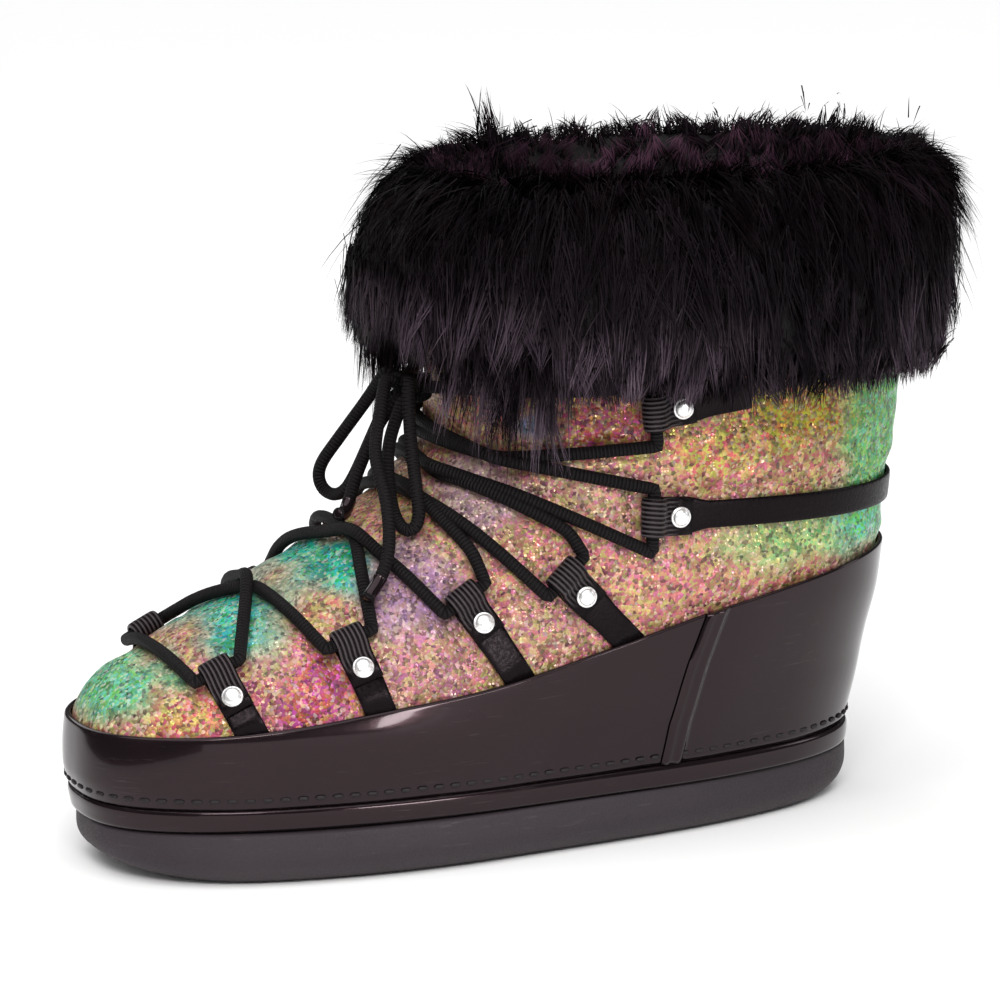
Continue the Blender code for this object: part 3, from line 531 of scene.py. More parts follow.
def makeGlitter():
    # Tints by place, the same on both sides, with soft edges. Flakes and chips break them up, and each has its own
    # hue, shine and lean.
    material, tree = newMaterial("glitter_fabric", Specular_IOR_Level=0.32)
    place = objectPlace(tree)
    x, y, z = parts(tree, "Object")
    both = node(tree, "ShaderNodeCombineXYZ", {0: maths(tree, "ABSOLUTE", x), 1: y, 2: z}).outputs[0]
    drift = node(tree, "ShaderNodeTexNoise", {"Vector": place, "Scale": 42.0, "Detail": 3.0}).outputs["Color"]
    drift = vector(tree, "MULTIPLY", vector(tree, "SUBTRACT", drift, (0.5, 0.5, 0.5)), (0.035, 0.035, 0.035))
    both = vector(tree, "ADD", both, drift)
    colour = mixed(tree, ranged(tree, noise(tree, place, 30.0), 0.35, 0.65), (0.80, 0.46, 0.37), (0.74, 0.50, 0.33))
    for label, centre, reach, tint, strength in glitterTints:
        away = vector(tree, "SUBTRACT", both, tuple(inMetres(centre)))
        away = vector(tree, "MULTIPLY", away, tuple(1000.0 / r for r in reach))
        far = node(tree, "ShaderNodeVectorMath", {0: away}, operation="LENGTH", label=label).outputs["Value"]
        colour = mixed(tree, ranged(tree, far, 1.35, 0.45, 0.0, min(1.0, strength + 0.2)), colour, tint)
    flakes, chips = (node(tree, "ShaderNodeTexVoronoi", {"Vector": place, "Scale": size}).outputs for size in (860.0, 330.0))
    one, two = (node(tree, "ShaderNodeSeparateColor", {0: cells["Color"]}).outputs for cells in (flakes, chips))
    turned = node(tree, "ShaderNodeHueSaturation", {
        "Hue": ranged(tree, one[1], 0.0, 1.0, 0.41, 0.59, "LINEAR"), "Saturation": 1.36,
        "Value": ranged(tree, two[0], 0.0, 1.0, 0.30, 0.70, "LINEAR"), "Color": colour}).outputs[0]
    colour = mixed(tree, times(tree, ranged(tree, one[0], 0.24, 0.08), 0.65), turned, (0.035, 0.02, 0.025))
    colour = mixed(tree, times(tree, ranged(tree, one[2], 0.72, 0.92), 0.30), colour, (0.80, 0.66, 0.54))
    height = maths(tree, "SUBTRACT", times(tree, one[0], 0.6), flakes["Distance"])
    lean = vector(tree, "MULTIPLY", vector(tree, "SUBTRACT", flakes["Color"], (0.5, 0.5, 0.5)), (0.62, 0.62, 0.62))
    normal = vector(tree, "NORMALIZE", vector(tree, "ADD", bump(tree, height, 0.00030, 0.8), lean))
    return dress(material, Base_Color=colour, Metallic=ranged(tree, one[0], 0.3, 1.0, 0.0, 0.32),
                 Roughness=ranged(tree, two[1], 0.0, 1.0, 0.24, 0.52), Normal=normal)


def makeStrapLeather():
    # In the UV, u runs across in rib widths, and v is 1 on the fold round the lace and 0 elsewhere.
    material, tree = newMaterial("strap_leather", Specular_IOR_Level=0.09, Specular_Tint=(1.0, 0.8, 0.85))
    blotch, grain, scuff = wear(tree, 60.0, 900.0)
    across, onFold, _ = parts(tree, "UV")
    ribs = maths(tree, "SINE", times(tree, across, 2 * math.pi))
    colour = mixed(tree, blotch, (0.0015, 0.001, 0.0015), (0.005, 0.0035, 0.0045))
    colour = mixed(tree, times(tree, scuff, 0.15), colour, (0.05, 0.04, 0.045))
    # painted highlight: the rib crests on the fold round the lace are coloured lighter, where the fold catches the
    # light
    foldRibHighlight = times(tree, ranged(tree, ribs, -0.5, 0.9), onFold)
    colour = mixed(tree, times(tree, foldRibHighlight, 0.6), colour, (0.10, 0.085, 0.09))
    height = maths(tree, "ADD", times(tree, ribs, times(tree, onFold, 0.7)), times(tree, grain, 0.4))
    rough = ranged(tree, grain, 0.3, 0.7, 0.24, 0.40)
    return dress(material, Base_Color=colour, Roughness=rough, Normal=bump(tree, height, 0.00035, 0.8))


def makeMetal():
    material, tree = newMaterial("rivet_metal", Metallic=0.75)
    blotch, grain, scuff = wear(tree, 150.0, 1500.0)
    colour = mixed(tree, blotch, (0.90, 0.89, 0.90), (0.98, 0.97, 0.96))
    colour = mixed(tree, times(tree, scuff, 0.5), colour, (0.5, 0.49, 0.5))
    rough = ranged(tree, grain, 0.3, 0.7, 0.26, 0.40)
    return dress(material, Base_Color=colour, Roughness=rough, Normal=bump(tree, grain, 0.00004, 0.4))


def makeCordBraid():
    # Round braid from two sets of slanting ridges in the UV, u once round and v along in braid lengths:
    # height = the higher of sin(8 pi v + 2 pi u) and sin(8 pi v - 2 pi u).
    material, tree = newMaterial("lace_braid", Roughness=0.65, Specular_IOR_Level=0.16)
    about, along, _ = parts(tree, "UV")
    about, along = times(tree, about, 2 * math.pi), times(tree, along, 8 * math.pi)
    left, right = (maths(tree, "SINE", maths(tree, way, along, about)) for way in ("ADD", "SUBTRACT"))
    height = maths(tree, "MAXIMUM", left, right)
    _, grain, _ = wear(tree, 90.0, 2600.0)
    # painted shade: the braid is coloured darker in its grooves and lighter on its ridges
    colour = mixed(tree, ranged(tree, height, -0.3, 1.0), (0.0012, 0.0009, 0.0012), (0.007, 0.005, 0.006))
    colour = mixed(tree, times(tree, grain, 0.2), colour, (0.022, 0.017, 0.020))
    height = maths(tree, "ADD", height, times(tree, grain, 0.5))
    return dress(material, Base_Color=colour, Normal=bump(tree, height, 0.0004, 0.9))


def makeFur():
    # Dark at the root, warmer and greyer to the tip. u runs along the hair and v is its own shade.
    material, tree = newMaterial("fur_hair", Specular_IOR_Level=0.07, Specular_Tint=(1.0, 0.82, 0.97))
    place = objectPlace(tree)
    along, own, _ = parts(tree, "UV")
    # painted light: tips high on the cuff take a warmer purple-brown, for the top lit from above
    tip = mixed(tree, ranged(tree, parts(tree, "Object")[2], 0.190, 0.222), (0.150, 0.108, 0.140), (0.120, 0.054, 0.088))
    drift = ranged(tree, noise(tree, place, 17.0, 2.0), 0.38, 0.62, 0.35, 1.0)
    shade = times(tree, times(tree, ranged(tree, along, 0.0, 0.9), own), drift)
    rough = ranged(tree, noise(tree, place, 60.0, 2.0), 0.3, 0.7, 0.38, 0.60)
    return dress(material, Base_Color=mixed(tree, shade, (0.0008, 0.0005, 0.0008), tip), Roughness=rough)


def makePile():
    material, tree = newMaterial("fur_pile", Roughness=0.9)
    hairs = stretchedNoise(tree, objectPlace(tree), (900.0, 900.0, 120.0), 4.0, 0.6)
    colour = mixed(tree, hairs, (0.0015, 0.001, 0.0015), (0.010, 0.007, 0.009))
    return dress(material, Base_Color=colour, Normal=bump(tree, hairs, 0.002, 0.9))


def makeFleece():
    material, tree = newMaterial("lining_fleece", Roughness=0.95, Sheen_Weight=0.06, Sheen_Roughness=0.5)
    place = objectPlace(tree)
    loops = node(tree, "ShaderNodeTexVoronoi", {"Vector": place, "Scale": 420.0}).outputs["Distance"]
    curls = noise(tree, place, 300.0, 4.0, 0.65)
    blotch, _, _ = wear(tree, 30.0, 1800.0)
    colour = mixed(tree, blotch, (0.009, 0.007, 0.009), (0.019, 0.015, 0.018))
    colour = mixed(tree, ranged(tree, curls, 0.45, 0.75, 0.0, 0.7), colour, (0.050, 0.041, 0.048))
    return dress(material, Base_Color=colour, Normal=bump(tree, maths(tree, "ADD", curls, loops), 0.0024, 1.0))


def makeThread():
    material, tree = newMaterial("stitch_thread", Roughness=0.5, Specular_IOR_Level=0.25)
    _, grain, _ = wear(tree, 120.0, 2200.0)
    colour = mixed(tree, grain, (0.004, 0.003, 0.004), (0.022, 0.016, 0.018))
    return dress(material, Base_Color=colour, Normal=bump(tree, grain, 0.0002, 0.8))


looks = {
    "rubber": makeRubber(), "patent": makePatent(), "glitter": makeGlitter(), "strap": makeStrapLeather(),
    "metal": makeMetal(), "cord": makeCordBraid(), "fur": makeFur(), "pile": makePile(), "fleece": makeFleece(),
    "thread": makeThread(),
}
print("materials made")


# Outsole
sole = {
    "halfLength": 143.0, "halfWidth": 59.0, "power": 2.5, "around": 240, "rows": 34, "planHeight": 20.0, "sharpFrom": 40,
    # height, inset, share of the spring
    "profile": [(18.5, 1.5, 0.0), (18.3, 0.7, 0.0), (17.7, 0.2, 0.0), (14.8, 0.05, 0.15), (11.5, 0.0, 0.3),
                (8.8, 0.2, 0.45),
                (6.5, 0.8, 0.6), (4.6, 1.6, 0.75), (3.2, 2.7, 0.85), (1.9, 4.1, 0.95), (1.0, 5.8, 1.0),
                (0.35, 7.6, 1.0), (0.0, 9.5, 1.0)],
    "toeFrom": -96.0, "toeRun": 47.0, "toeSpring": 5.0, "heelFrom": 112.0, "heelRun": 31.0, "heelSpring": 3.2,
    # hollows between the lugs: front edge, back edge, depth; and what is left of the half width beside them
    "hollows": [(-103, -95, 2.5), (-84, -76, 2.5), (-65, -57, 2.5), (-46, -38, 2.5), (-27, -19, 2.5), (-8, 12, 4.0),
                (20, 40, 4.5),
                (48, 60, 4.0), (71, 79, 2.5), (90, 98, 2.5)],
    "besideHollow": 16.0,
}


def makeSole():
    # Superellipse outline times the waist share, drawn in by the profile's inset. Toe and heel spring are added to its
    # height by their share.
    count, rows, power = sole["around"], sole["rows"], 2 / sole["power"]
    turn = (np.arange(count) + 0.5) * 2 * math.pi / count - math.pi / 2
    profile = smoothLine([(0, inset, height) for height, inset, _ in sole["profile"]], count=rows)
    shares = np.interp(-profile[:, 2], [-p[0] for p in sole["profile"]], [p[2] for p in sole["profile"]])
    inset, height = profile[None, :, 1], np.clip(profile[None, :, 2], 0, None)
    c, s = np.cos(turn)[:, None], np.sin(turn)[:, None]
    y = (sole["halfLength"] - inset) * np.sign(s) * np.abs(s) ** power
    x = (sole["halfWidth"] - inset) * np.sign(c) * np.abs(c) ** power * planShare(y, sole["planHeight"])
    toe = np.clip((sole["toeFrom"] - y) / sole["toeRun"], 0, 1) ** 2 * sole["toeSpring"]
    heel = np.clip((y - sole["heelFrom"]) / sole["heelRun"], 0, 1) ** 2 * sole["heelSpring"]
    grid = np.stack([x, y, height + shares[None] * (toe + heel)], -1)
    faces, _ = gridFaces(count, rows, wrapFirst=True)
    j = np.arange(count // 2 - 1)
    caps = [np.stack([j, j + 1, count - 2 - j, count - 1 - j], -1) * rows + k for k in (0, rows - 1)]
    faces = np.vstack([faces] + caps)
    body = meshFrom("sole", inMetres(grid.reshape(-1, 3)), faces, looks["rubber"], slotName="sole_rubber",
                    replaced=("outsole",))
    cutHollows(body)
    body.data.polygons.foreach_set("use_smooth", facingAside(body.data))
    body.data.set_sharp_from_angle(angle=math.radians(sole["sharpFrom"]))


def cutHollows(body):
    # Boxes across the sole, cut out of it one after the other.
    cutters, below = [], 4.0
    for front, back, depth in sole["hollows"]:
        y = max(abs(front), abs(back)) * np.sign(front + back)
        half = sole["halfWidth"] * (1 - abs(y / sole["halfLength"]) ** sole["power"]) ** (1 / sole["power"])
        half = half * float(planShare(y, sole["planHeight"])) - sole["besideHollow"]
        bpy.ops.mesh.primitive_cube_add(size=1)
        cutter = bpy.context.object
        cutter.location = inMetres((0, (front + back) / 2, (depth - below) / 2))
        cutter.scale = np.array((2 * half, back - front, depth + below)) * 0.001
        cut = body.modifiers.new("hollow", "BOOLEAN")
        cut.operation, cut.solver, cut.object = "DIFFERENCE", "EXACT", cutter
        cutters.append(cutter)
    bpy.context.view_layer.update()
    solid = bpy.data.meshes.new_from_object(body.evaluated_get(bpy.context.evaluated_depsgraph_get()))
    body.modifiers.clear()
    body.data = solid
    for cutter in cutters:
        bpy.data.objects.remove(cutter)


def facingAside(mesh):
    # True for each face that doesn't face straight down.
    normals = np.zeros(len(mesh.polygons) * 3, np.float32)
    mesh.polygons.foreach_get("normal", normals)
    return normals[2::3] >= -0.999


makeSole()


# Rand, welt and their stitches
rand = {
    "snug": 0.6, "thick": 2.0, "raised": 1.1, "stripWidth": 0.06, "low": 26.9, "edgeRound": 0.9, "rows": 34, "wave": 0.22,
    # top edge: y, height
    "top": [(-150, 51.0), (-137, 51.5), (-110, 52.5), (-81, 55), (-57, 58), (-25, 61.5), (0, 66), (27, 72), (61, 80),
            (85, 84.5), (106, 88), (132, 92), (160, 94)],
    # seam between front and heel: height, y
    "sideSeam": [(19, 46.0), (42, 48.5), (63, 54.5), (85, 63.0)],
    # distance from the last, height
    "welt": [(0.3, 18.9), (3.6, 18.85), (4.7, 19.1), (5.15, 19.8), (5.1, 20.8), (4.85, 22.2), (4.5, 23.8), (4.05, 25.2),
             (3.5, 26.1), (2.7, 26.6), (0.3, 26.6)],
    # pitch, length and radius of a stitch, and the height of the row
    "stitch": (5.9, 3.7, 0.55, 30.2),
}
randTopLine = smoothLine([(0, y, z) for y, z in rand["top"]], count=200)


def randTop(y):
    return np.interp(y, randTopLine[:, 1], randTopLine[:, 2])


def seamTurn(z, side=0.0):
    return turnAtY(np.interp(z, *np.array(rand["sideSeam"]).T) + side, z)


def stripRise(side):
    # Height of a seam strip by the share of its width: a plateau with an eased edge, and two bell-shaped rows on it.
    plateau = rand["raised"] * (1 - smoothStep((side - 0.86) / 0.2)) * (0.45 + 0.55 * smoothStep(side / 0.12))
    return plateau + 0.45 * (np.exp(-(((side - 0.24) / 0.09) ** 2)) + np.exp(-(((side - 0.74) / 0.09) ** 2)))


def makeRand(name, first, last, count, strips):
    # The skin moved out by the rand's thickness between two side lines, its edges rolled, with the seam strips raised.
    share = np.linspace(0, 1, count)
    top = np.full(count, 60.0)
    for _ in range(12):  # the top edge and the turn settle together
        turn = first(top) + (last(top) - first(top)) * share
        top = randTop(lastPoint(turn, top)[:, 1])
    low, inner, roll = rand["low"], rand["snug"], rand["edgeRound"]
    outer = inner + rand["thick"]
    rows = [(u, outer, 0.0) for u in np.linspace(0, 1, rand["rows"])]
    rows += [(1.0, outer - roll * (1 - math.cos(a)), roll * math.sin(a)) for a in np.linspace(0.2, math.pi / 2, 6)]
    rows += [(1.0, inner + 0.3, roll - 0.1), (1.0, inner, 0.2), (0.6, inner, 0.0), (0.3, inner, 0.0), (0.0, inner, 0.0)]
    grid = np.zeros((count, len(rows), 3))
    for k, (u, out, above) in enumerate(rows):
        z = low + (top - roll - low) * u + above
        turn = first(z) + (last(z) - first(z)) * share
        if out > inner + 0.5:
            if strips:
                out = out + stripRise(np.minimum(share, 1 - share) * np.abs(last(z) - first(z)) / rand["stripWidth"])
            y = lastPoint(turn, z)[:, 1]
            out = out + rand["wave"] * np.sin(y * 0.11 + z * 0.07 + 1.3) * np.sin(y * 0.043 - z * 0.12)
        grid[:, k] = skinPoint(turn, z, out)
        grid[:, k, 2] = z
    gridPiece(name, grid, looks["patent"], wrapSecond=True, slotName="patent", replaced=(name.replace("_skin", ""),))


def makeRands():
    makeRand("rand_front_skin", lambda z: seamTurn(z, -0.2), lambda z: -math.pi - seamTurn(z, -0.2), 300, False)
    makeRand("rand_heel_skin", lambda z: seamTurn(z, 0.2), lambda z: math.pi - seamTurn(z, 0.2), 420, True)
    profile = smoothLine([(0, out, z) for out, z in rand["welt"]], count=30)
    grid = np.stack([skinPoint(ringTurns(300), z, out) for _, out, z in profile])
    grid[:, :, 2] = profile[:, 2][:, None]
    gridPiece("welt_skin", grid, looks["patent"], wrapFirst=True, wrapSecond=True, slotName="patent", replaced=("welt",))


def makeStitches(name, line, outward, pitch, length, radius):
    # One small capsule per pitch along a line: spine s in [-1, 1], ring radius r (1 - s^4)^(1/2), 1.5 times as wide as
    # high.
    rings, around = 7, 8
    line = evenLine(line, spacing=pitch / 2)
    centre = line[1:-1:2]
    along = unit(line[2::2][:len(centre)] - line[0:-2:2][:len(centre)])
    up = outward(centre)
    across = np.cross(up, along)
    s, a = np.linspace(-1, 1, rings), ringTurns(around)
    fat = radius * np.sqrt(np.clip(1 - s**4, 0.02, 1))[:, None]
    spine = np.broadcast_to(s[:, None] * length / 2, (rings, around))
    shape = np.stack([spine, fat * np.cos(a) * 1.5, fat * np.sin(a)], -1).reshape(1, -1, 3, 1)
    points = centre[:, None] + shape[:, :, 0] * along[:, None] + shape[:, :, 1] * across[:, None]
    points = points + shape[:, :, 2] * up[:, None]
    faces, _ = gridFaces(rings, around, wrapSecond=True)
    ends = np.array([[0, 1, 2, 3], [0, 3, 4, 7], [4, 5, 6, 7]])
    faces = np.vstack([faces, ends[:, ::-1], ends + (rings - 1) * around])
    faces = (faces[None] + np.arange(len(centre))[:, None, None] * rings * around).reshape(-1, 4)
    return meshFrom(name, inMetres(points.reshape(-1, 3)), faces, looks["thread"])


def makeRandStitches():
    pitch, length, radius, height = rand["stitch"]
    line = skinPoint(np.linspace(-math.pi, math.pi, 900), height, rand["snug"] + rand["thick"] + 0.15)
    line[:, 2] = height
    makeStitches("rand_stitches", line, lastNormal, pitch, length, radius)


makeRands()
makeRandStitches()
print("sole, rand and welt made")


# Straps: one folded strip each, and the domed rivet on it
strap = {
    "half": 5.3, "upperHalf": 4.8, "thick": 1.5, "between": 0.2, "eye": 2.7, "rivetBack": 9.8, "tailBack": 14.4,
    "section": 22, "ribPitch": 1.6,
    # from the strap's end: where it widens and over how far, where it stands free, where the fold's ribs begin and how
    # far they fade in; and the height above the skin where it lets go
    "widens": (22, 10), "freeFrom": 16, "ribbed": (9.5, 2.5), "letsGo": (3.4, 1.5),
    "loops": [
        # number, foot, centre of the loop, half width of the loop
        (1, (45.5, -101, 53.5), (31.0, -106, 68.5), 5.3), (2, (54.0, -59, 60.0), (43.0, -64.5, 79.0), 5.5),
        (3, (57.0, -10, 66.5), (48.0, -25, 91.0), 5.7), (4, (57.0, 30, 75.5), (54.0, 9, 97.5), 6.2),
        (6, (60.0, 76, 155.5), (56.5, 41, 152.0), 6.0),
    ],
    "ankle": {"loop": (57.0, 40, 116.0), "back": (0.0, 154.5, 112.5), "half": 4.8, "loopHalf": 6.6},
}
rivet = {
    "radius": 3.6, "height": 2.0, "around": 40,
    # share of the radius, share of the height
    "profile": [(0.02, 1.0), (0.3, 0.97), (0.55, 0.86), (0.72, 0.66), (0.80, 0.44), (0.86, 0.34), (0.97, 0.30),
                (1.0, 0.2), (1.0, 0.0)],
}


def foldedPath(length, bothEnds):
    # Side view (along, above the skin): flat on the skin, an arc round the lace's eye, and back over itself.
    low = rand["snug"] + strap["thick"] / 2
    radius = strap["eye"] + strap["thick"] / 2
    high = low + strap["thick"] + strap["between"]
    arc = np.radians(np.linspace(-90, 130, 15))
    eye = [(length + radius * math.cos(a), low + radius + radius * math.sin(a)) for a in arc]
    back = [(length - 4.6, high + 1.1), (length - 6.2, high + 0.25), (length - strap["rivetBack"], high)]
    back.append((length - strap["tailBack"], high))
    inner = max(4, int(round((length - 3) / 3)))
    if not bothEnds:
        return np.array([(s, low) for s in np.linspace(0, length - 3, inner)] + eye + back)
    right = [(s, low) for s in np.linspace(length / 2, length - 3, inner // 2)] + eye + back
    return np.array([(length - s, n) for s, n in reversed(right[1:])] + right)


def makeStrap(name, line, sideHalf, loopHalf, replaced, bothEnds=False, onRand=False):
    # The folded path carried along the skin, with a rounded section: half |cos|^0.3 across and thick / 2 |sin|^0.7
    # through.
    line = pressed(line)
    run, beyond = runOf(line), 12
    length = run[-1]
    before = line[0] + (line[0] - line[1]) * beyond / run[1]
    after = line[-1] + (line[-1] - line[-2]) * beyond / (run[-1] - run[-2])
    line = np.vstack([before, line, after])
    run = np.concatenate([[-beyond], run, [length + beyond]])

    def onLine(s):
        # Place, way ahead, way up and way across at each distance along the line.
        back, here, ahead = (lineAt(line, run, s + step) for step in (-1, 0, 1))
        centre, ahead = pressed(here), ahead - back
        up = lastNormal(centre)
        ahead = unit(ahead - up * np.sum(ahead * up, axis=1, keepdims=True))
        return centre, ahead, up, np.cross(up, ahead)

    path = foldedPath(length, bothEnds)
    tangent = unit(np.gradient(path, axis=0))
    a = ringTurns(strap["section"])
    u, v = np.sign(np.cos(a)) * np.abs(np.cos(a)) ** 0.3, np.sign(np.sin(a)) * np.abs(np.sin(a)) ** 0.7
    fromEnd = np.minimum(length - path[:, 0], path[:, 0]) if bothEnds else length - path[:, 0]
    widenFrom, widenOver = strap["widens"]
    half = sideHalf + (loopHalf - sideHalf) * smoothStep((widenFrom - fromEnd) / widenOver)
    s = path[:, :1] - v * tangent[:, 1:] * strap["thick"] / 2
    above = path[:, 1:] + v * tangent[:, :1] * strap["thick"] / 2
    centre, ahead, up, across = onLine(s.ravel())
    rigid = centre + across * (half[:, None] * u).reshape(-1, 1)
    foot = pressed(rigid)
    if onRand:
        # the strap's first section slides along until it stands on the rand's top edge
        first = np.arange(len(a))
        for _ in range(6):
            short = randTop(foot[first, 1]) - 0.9 - foot[first, 2]
            foot[first] = pressed(foot[first] + ahead[first] * (short / np.maximum(ahead[first, 2], 0.4))[:, None])
    # near the loop the fold stands free of the skin, with its own straight section
    low, over = strap["letsGo"]
    lift = np.where(fromEnd[:, None] < strap["freeFrom"], np.clip((above - low) / over, 0, 1), 0.0).reshape(-1, 1)
    above = above.reshape(-1, 1)
    points = (foot + lastNormal(foot) * above) * (1 - lift) + (rigid + up * above) * lift
    grid = points.reshape(len(path), len(a), 3).transpose(1, 0, 2)
    ribs = (half[:, None] * u / strap["ribPitch"]).T
    ribFrom, ribOver = strap["ribbed"]
    onFold = smoothStep((ribFrom - fromEnd) / ribOver) * smoothStep((path[:, 1] - rand["snug"] - 1.2) / 1.5)
    uv = np.stack([ribs, np.broadcast_to(onFold[None], ribs.shape)], -1)
    obj = gridPiece(name, grid, looks["strap"], wrapFirst=True, caps=True, slotName="strap", replaced=replaced, places=uv)
    ends = []
    for at, way in ((length, 1), (0.0, -1)) if bothEnds else ((length, 1),):
        # eye, way of the eye, half width, rivet's foot and way up
        centre, _, up, across = (q[0] for q in onLine(np.array([at])))
        spot, _, spotUp, _ = (q[0] for q in onLine(np.array([at - way * strap["rivetBack"]])))
        eye = centre + up * (rand["snug"] + strap["thick"] + strap["eye"])
        ends.append((eye, across, loopHalf, spot + spotUp * (rand["snug"] + 2 * strap["thick"] + 0.6), spotUp))
    return obj, ends


def mirrorPiece(source, name, replaced):
    # Copy with x turned over and its faces turned back.
    mesh = source.data.copy()
    mesh.name = name
    co = np.zeros(len(mesh.vertices) * 3, np.float32)
    mesh.vertices.foreach_get("co", co)
    co[::3] *= -1
    mesh.vertices.foreach_set("co", co)
    mesh.flip_normals()
    return declare(addObject(name, mesh), replaced)


def makeRivet(name, foot, up):
    # Turned cap: a low dome on a flat rim, by its profile.
    profile = smoothLine([(0, r * rivet["radius"], h * rivet["height"]) for r, h in rivet["profile"]], count=20)
    side = unit(np.cross(up, [0.0, 0.3, 1.0]))
    a = ringTurns(rivet["around"])[:, None]
    ring = np.cos(a) * side + np.sin(a) * np.cross(up, side)
    grid = foot + profile[None, :, 1:2] * ring[:, None] + profile[None, :, 2:3] * up
    replaced = (name.replace("rivet_cap", "rivet"),)
    gridPiece(name, grid, looks["metal"], wrapFirst=True, caps=True, slotName="rivet_metal", replaced=replaced)


def ankleLine(share):
    # The last at the ankle strap, from its near loop round the back: height = loop + (back - loop) sin(pi share)^0.8.
    near, back = strap["ankle"]["loop"], strap["ankle"]["back"]
    start = float(turnAtY(np.array([near[1]]), np.array([near[2]]))[0])
    turn = start + (math.pi - 2 * start) * share
    return lastPoint(turn, near[2] + (back[2] - near[2]) * np.sin(math.pi * share) ** 0.8)


def makeStraps():
    places = {}
    for number, foot, loop, loopHalf in strap["loops"]:
        half = strap["half"] if number != 6 else strap["upperHalf"]
        obj, ends = makeStrap(f"lace_strap_{number}_near", np.linspace(foot, loop, 12), half, loopHalf,
                              (f"strap_{number}_near",), onRand=number != 6)
        mirrorPiece(obj, f"lace_strap_{number}_far", (f"strap_{number}_far",))
        places[number, "near"] = ends[0]
        places[number, "far"] = tuple(np.asarray(q) * [-1, 1, 1] if np.ndim(q) else q for q in ends[0])
    ankle = strap["ankle"]
    _, ends = makeStrap("ankle_band", ankleLine(np.linspace(0, 1, 61)), ankle["half"], ankle["loopHalf"],
                        ("ankle_strap",), bothEnds=True)
    places[5, "far"], places[5, "near"] = ends
    for (number, side), place in sorted(places.items()):
        makeRivet(f"rivet_cap_{number}_{side}", place[3], place[4])
    return places


places = makeStraps()
print("straps and rivets made")


# Laces
lace = {
    "radius": 2.2, "lift": 4.5, "above": 3.5, "around": 14, "braid": 5.2,
    # where the strands cross above each strap, and where two of them are drawn aside
    "crossings": {1: (3.5, -81, 89.5), 2: (15.5, -48.5, 105.5), 3: (16.5, -26.5, 119), 4: (17, -18.5, 126),
                  5: (32.5, -2.5, 135)},
    "drawn": {(3, "near"): (43.0, -19, 105), (4, "near"): (51.5, 12, 112)},
    "knot": (0.0, -22.0, 156.0), "knotHalf": (8.5, 6.0, 6.0),
    # sleeve on each lace end: back from the end, radius
    "tip": np.array([(10.0, 2.0), (9.9, 2.35), (9.6, 2.5), (9.2, 2.42), (8.6, 2.35), (6.0, 2.33), (3.0, 2.3), (1.2, 2.25),
                     (0.4, 2.0), (-0.1, 1.4), (-0.3, 0.5)]),
    "bow": {
        "lace_loop_far": [(-8.0, -25.5, 158), (-15, -32, 150), (-21, -41, 135), (-25, -47, 124), (-22, -46, 117),
                          (-14, -43, 117),
                          (-9.5, -40, 124), (-7.5, -34, 138), (-5.0, -27.0, 151.5)],
        "lace_loop_near": [(8.0, -25.5, 158), (14, -29.5, 149), (20, -31, 135), (30, -33, 120), (34, -36, 113),
                           (29, -39, 113),
                           (20, -39, 121), (11, -36, 137), (5.0, -27.0, 151.5)],
        "lace_end_far": [(0.0, -27.0, 152.0), (-1, -35, 142), (0, -42, 129), (3, -47, 119), (8, -51, 111)],
        "lace_end_near": [(0.0, -28.5, 157.5), (7.0, -37.0, 150), (16, -43, 136), (28, -44, 122), (38, -48, 106),
                          (42, -57, 92)],
    },
}


def farFromSkin(line):
    return lastLevel(line) / np.linalg.norm(lastSlope(line), axis=1)


def tautLine(start, end, count):
    # A pulled lace: the line's points drawn to their neighbours' middle, and held at least this far above the skin.
    line = np.linspace(start, end, count)
    for _ in range(220):
        line[1:-1] = 0.5 * line[1:-1] + 0.25 * (line[:-2] + line[2:])
        g = lastSlope(line)
        size = np.linalg.norm(g, axis=1, keepdims=True)
        short = np.clip(lace["above"] - np.clip(lastLevel(line)[:, None] / size, -4, 40), 0, 3) * 0.8
        short[[0, -1]] = 0
        line = line + g / size * short
    return line


def throughLoop(number, side):
    eye, across, width, _, _ = places[number, side]
    way = across * np.sign(across @ (np.array([0, 0, 1.0]) if number > 4 else np.array([0, 1.0, 0])))
    low = width + (5.5 if number > 4 else 3.0)
    return np.linspace(eye - way * low, eye + way * (width + 3.0), 9)


def halfLace(first):
    # From the bottom bar up to the knot, starting on one side, with a mark on the points inside the loops.
    other = {"near": "far", "far": "near"}
    side, pieces, marks = first, [throughLoop(1, first)], [np.ones(9)]
    for number in (2, 3, 4, 5, 6):
        side = other[side]
        following = throughLoop(number, side)
        cross = pressed(np.array([lace["crossings"][number - 1]]))[0]
        cross = cross + lastNormal(cross[None])[0] * (lace["above"] + (lace["lift"] if first == "near" else 0.0))
        run = tautLine(pieces[-1][-1], cross, 16)
        if (number - 1, other[side]) in lace["drawn"]:
            way = pressed(np.array([lace["drawn"][number - 1, other[side]]]))[0]
            way = way + lastNormal(way[None])[0] * lace["above"]
            run = np.vstack([tautLine(pieces[-1][-1], way, 7), tautLine(way, cross, 10)[1:]])
        run = np.vstack([run, tautLine(cross, following[0], 16)[1:]])
        if first == "near":
            rise = lace["lift"] * np.exp(-((np.linalg.norm(run - cross, axis=1) / 9.0) ** 2))
            rise = np.clip(lace["above"] + rise - farFromSkin(run), 0, None)
            rise[15] = 0.0
            run = run + lastNormal(run) * rise[:, None]
        run = evenLine(run, spacing=2.0)[1:-1]
        pieces += [run, following]
        marks += [np.zeros(len(run)), np.ones(9)]
    sign = 1 if side == "near" else -1
    toKnot = np.array([sign * (lace["knotHalf"][0] + 0.4), lace["knot"][1] + 1.0, lace["knot"][2] + 1.0])
    tail = evenLine(tautLine(pieces[-1][-1], toKnot, 14), spacing=2.0)[1:]
    marks.append(np.zeros(len(tail)))
    marks[-1][-1] = 1
    return np.vstack(pieces + [tail]), np.concatenate(marks)


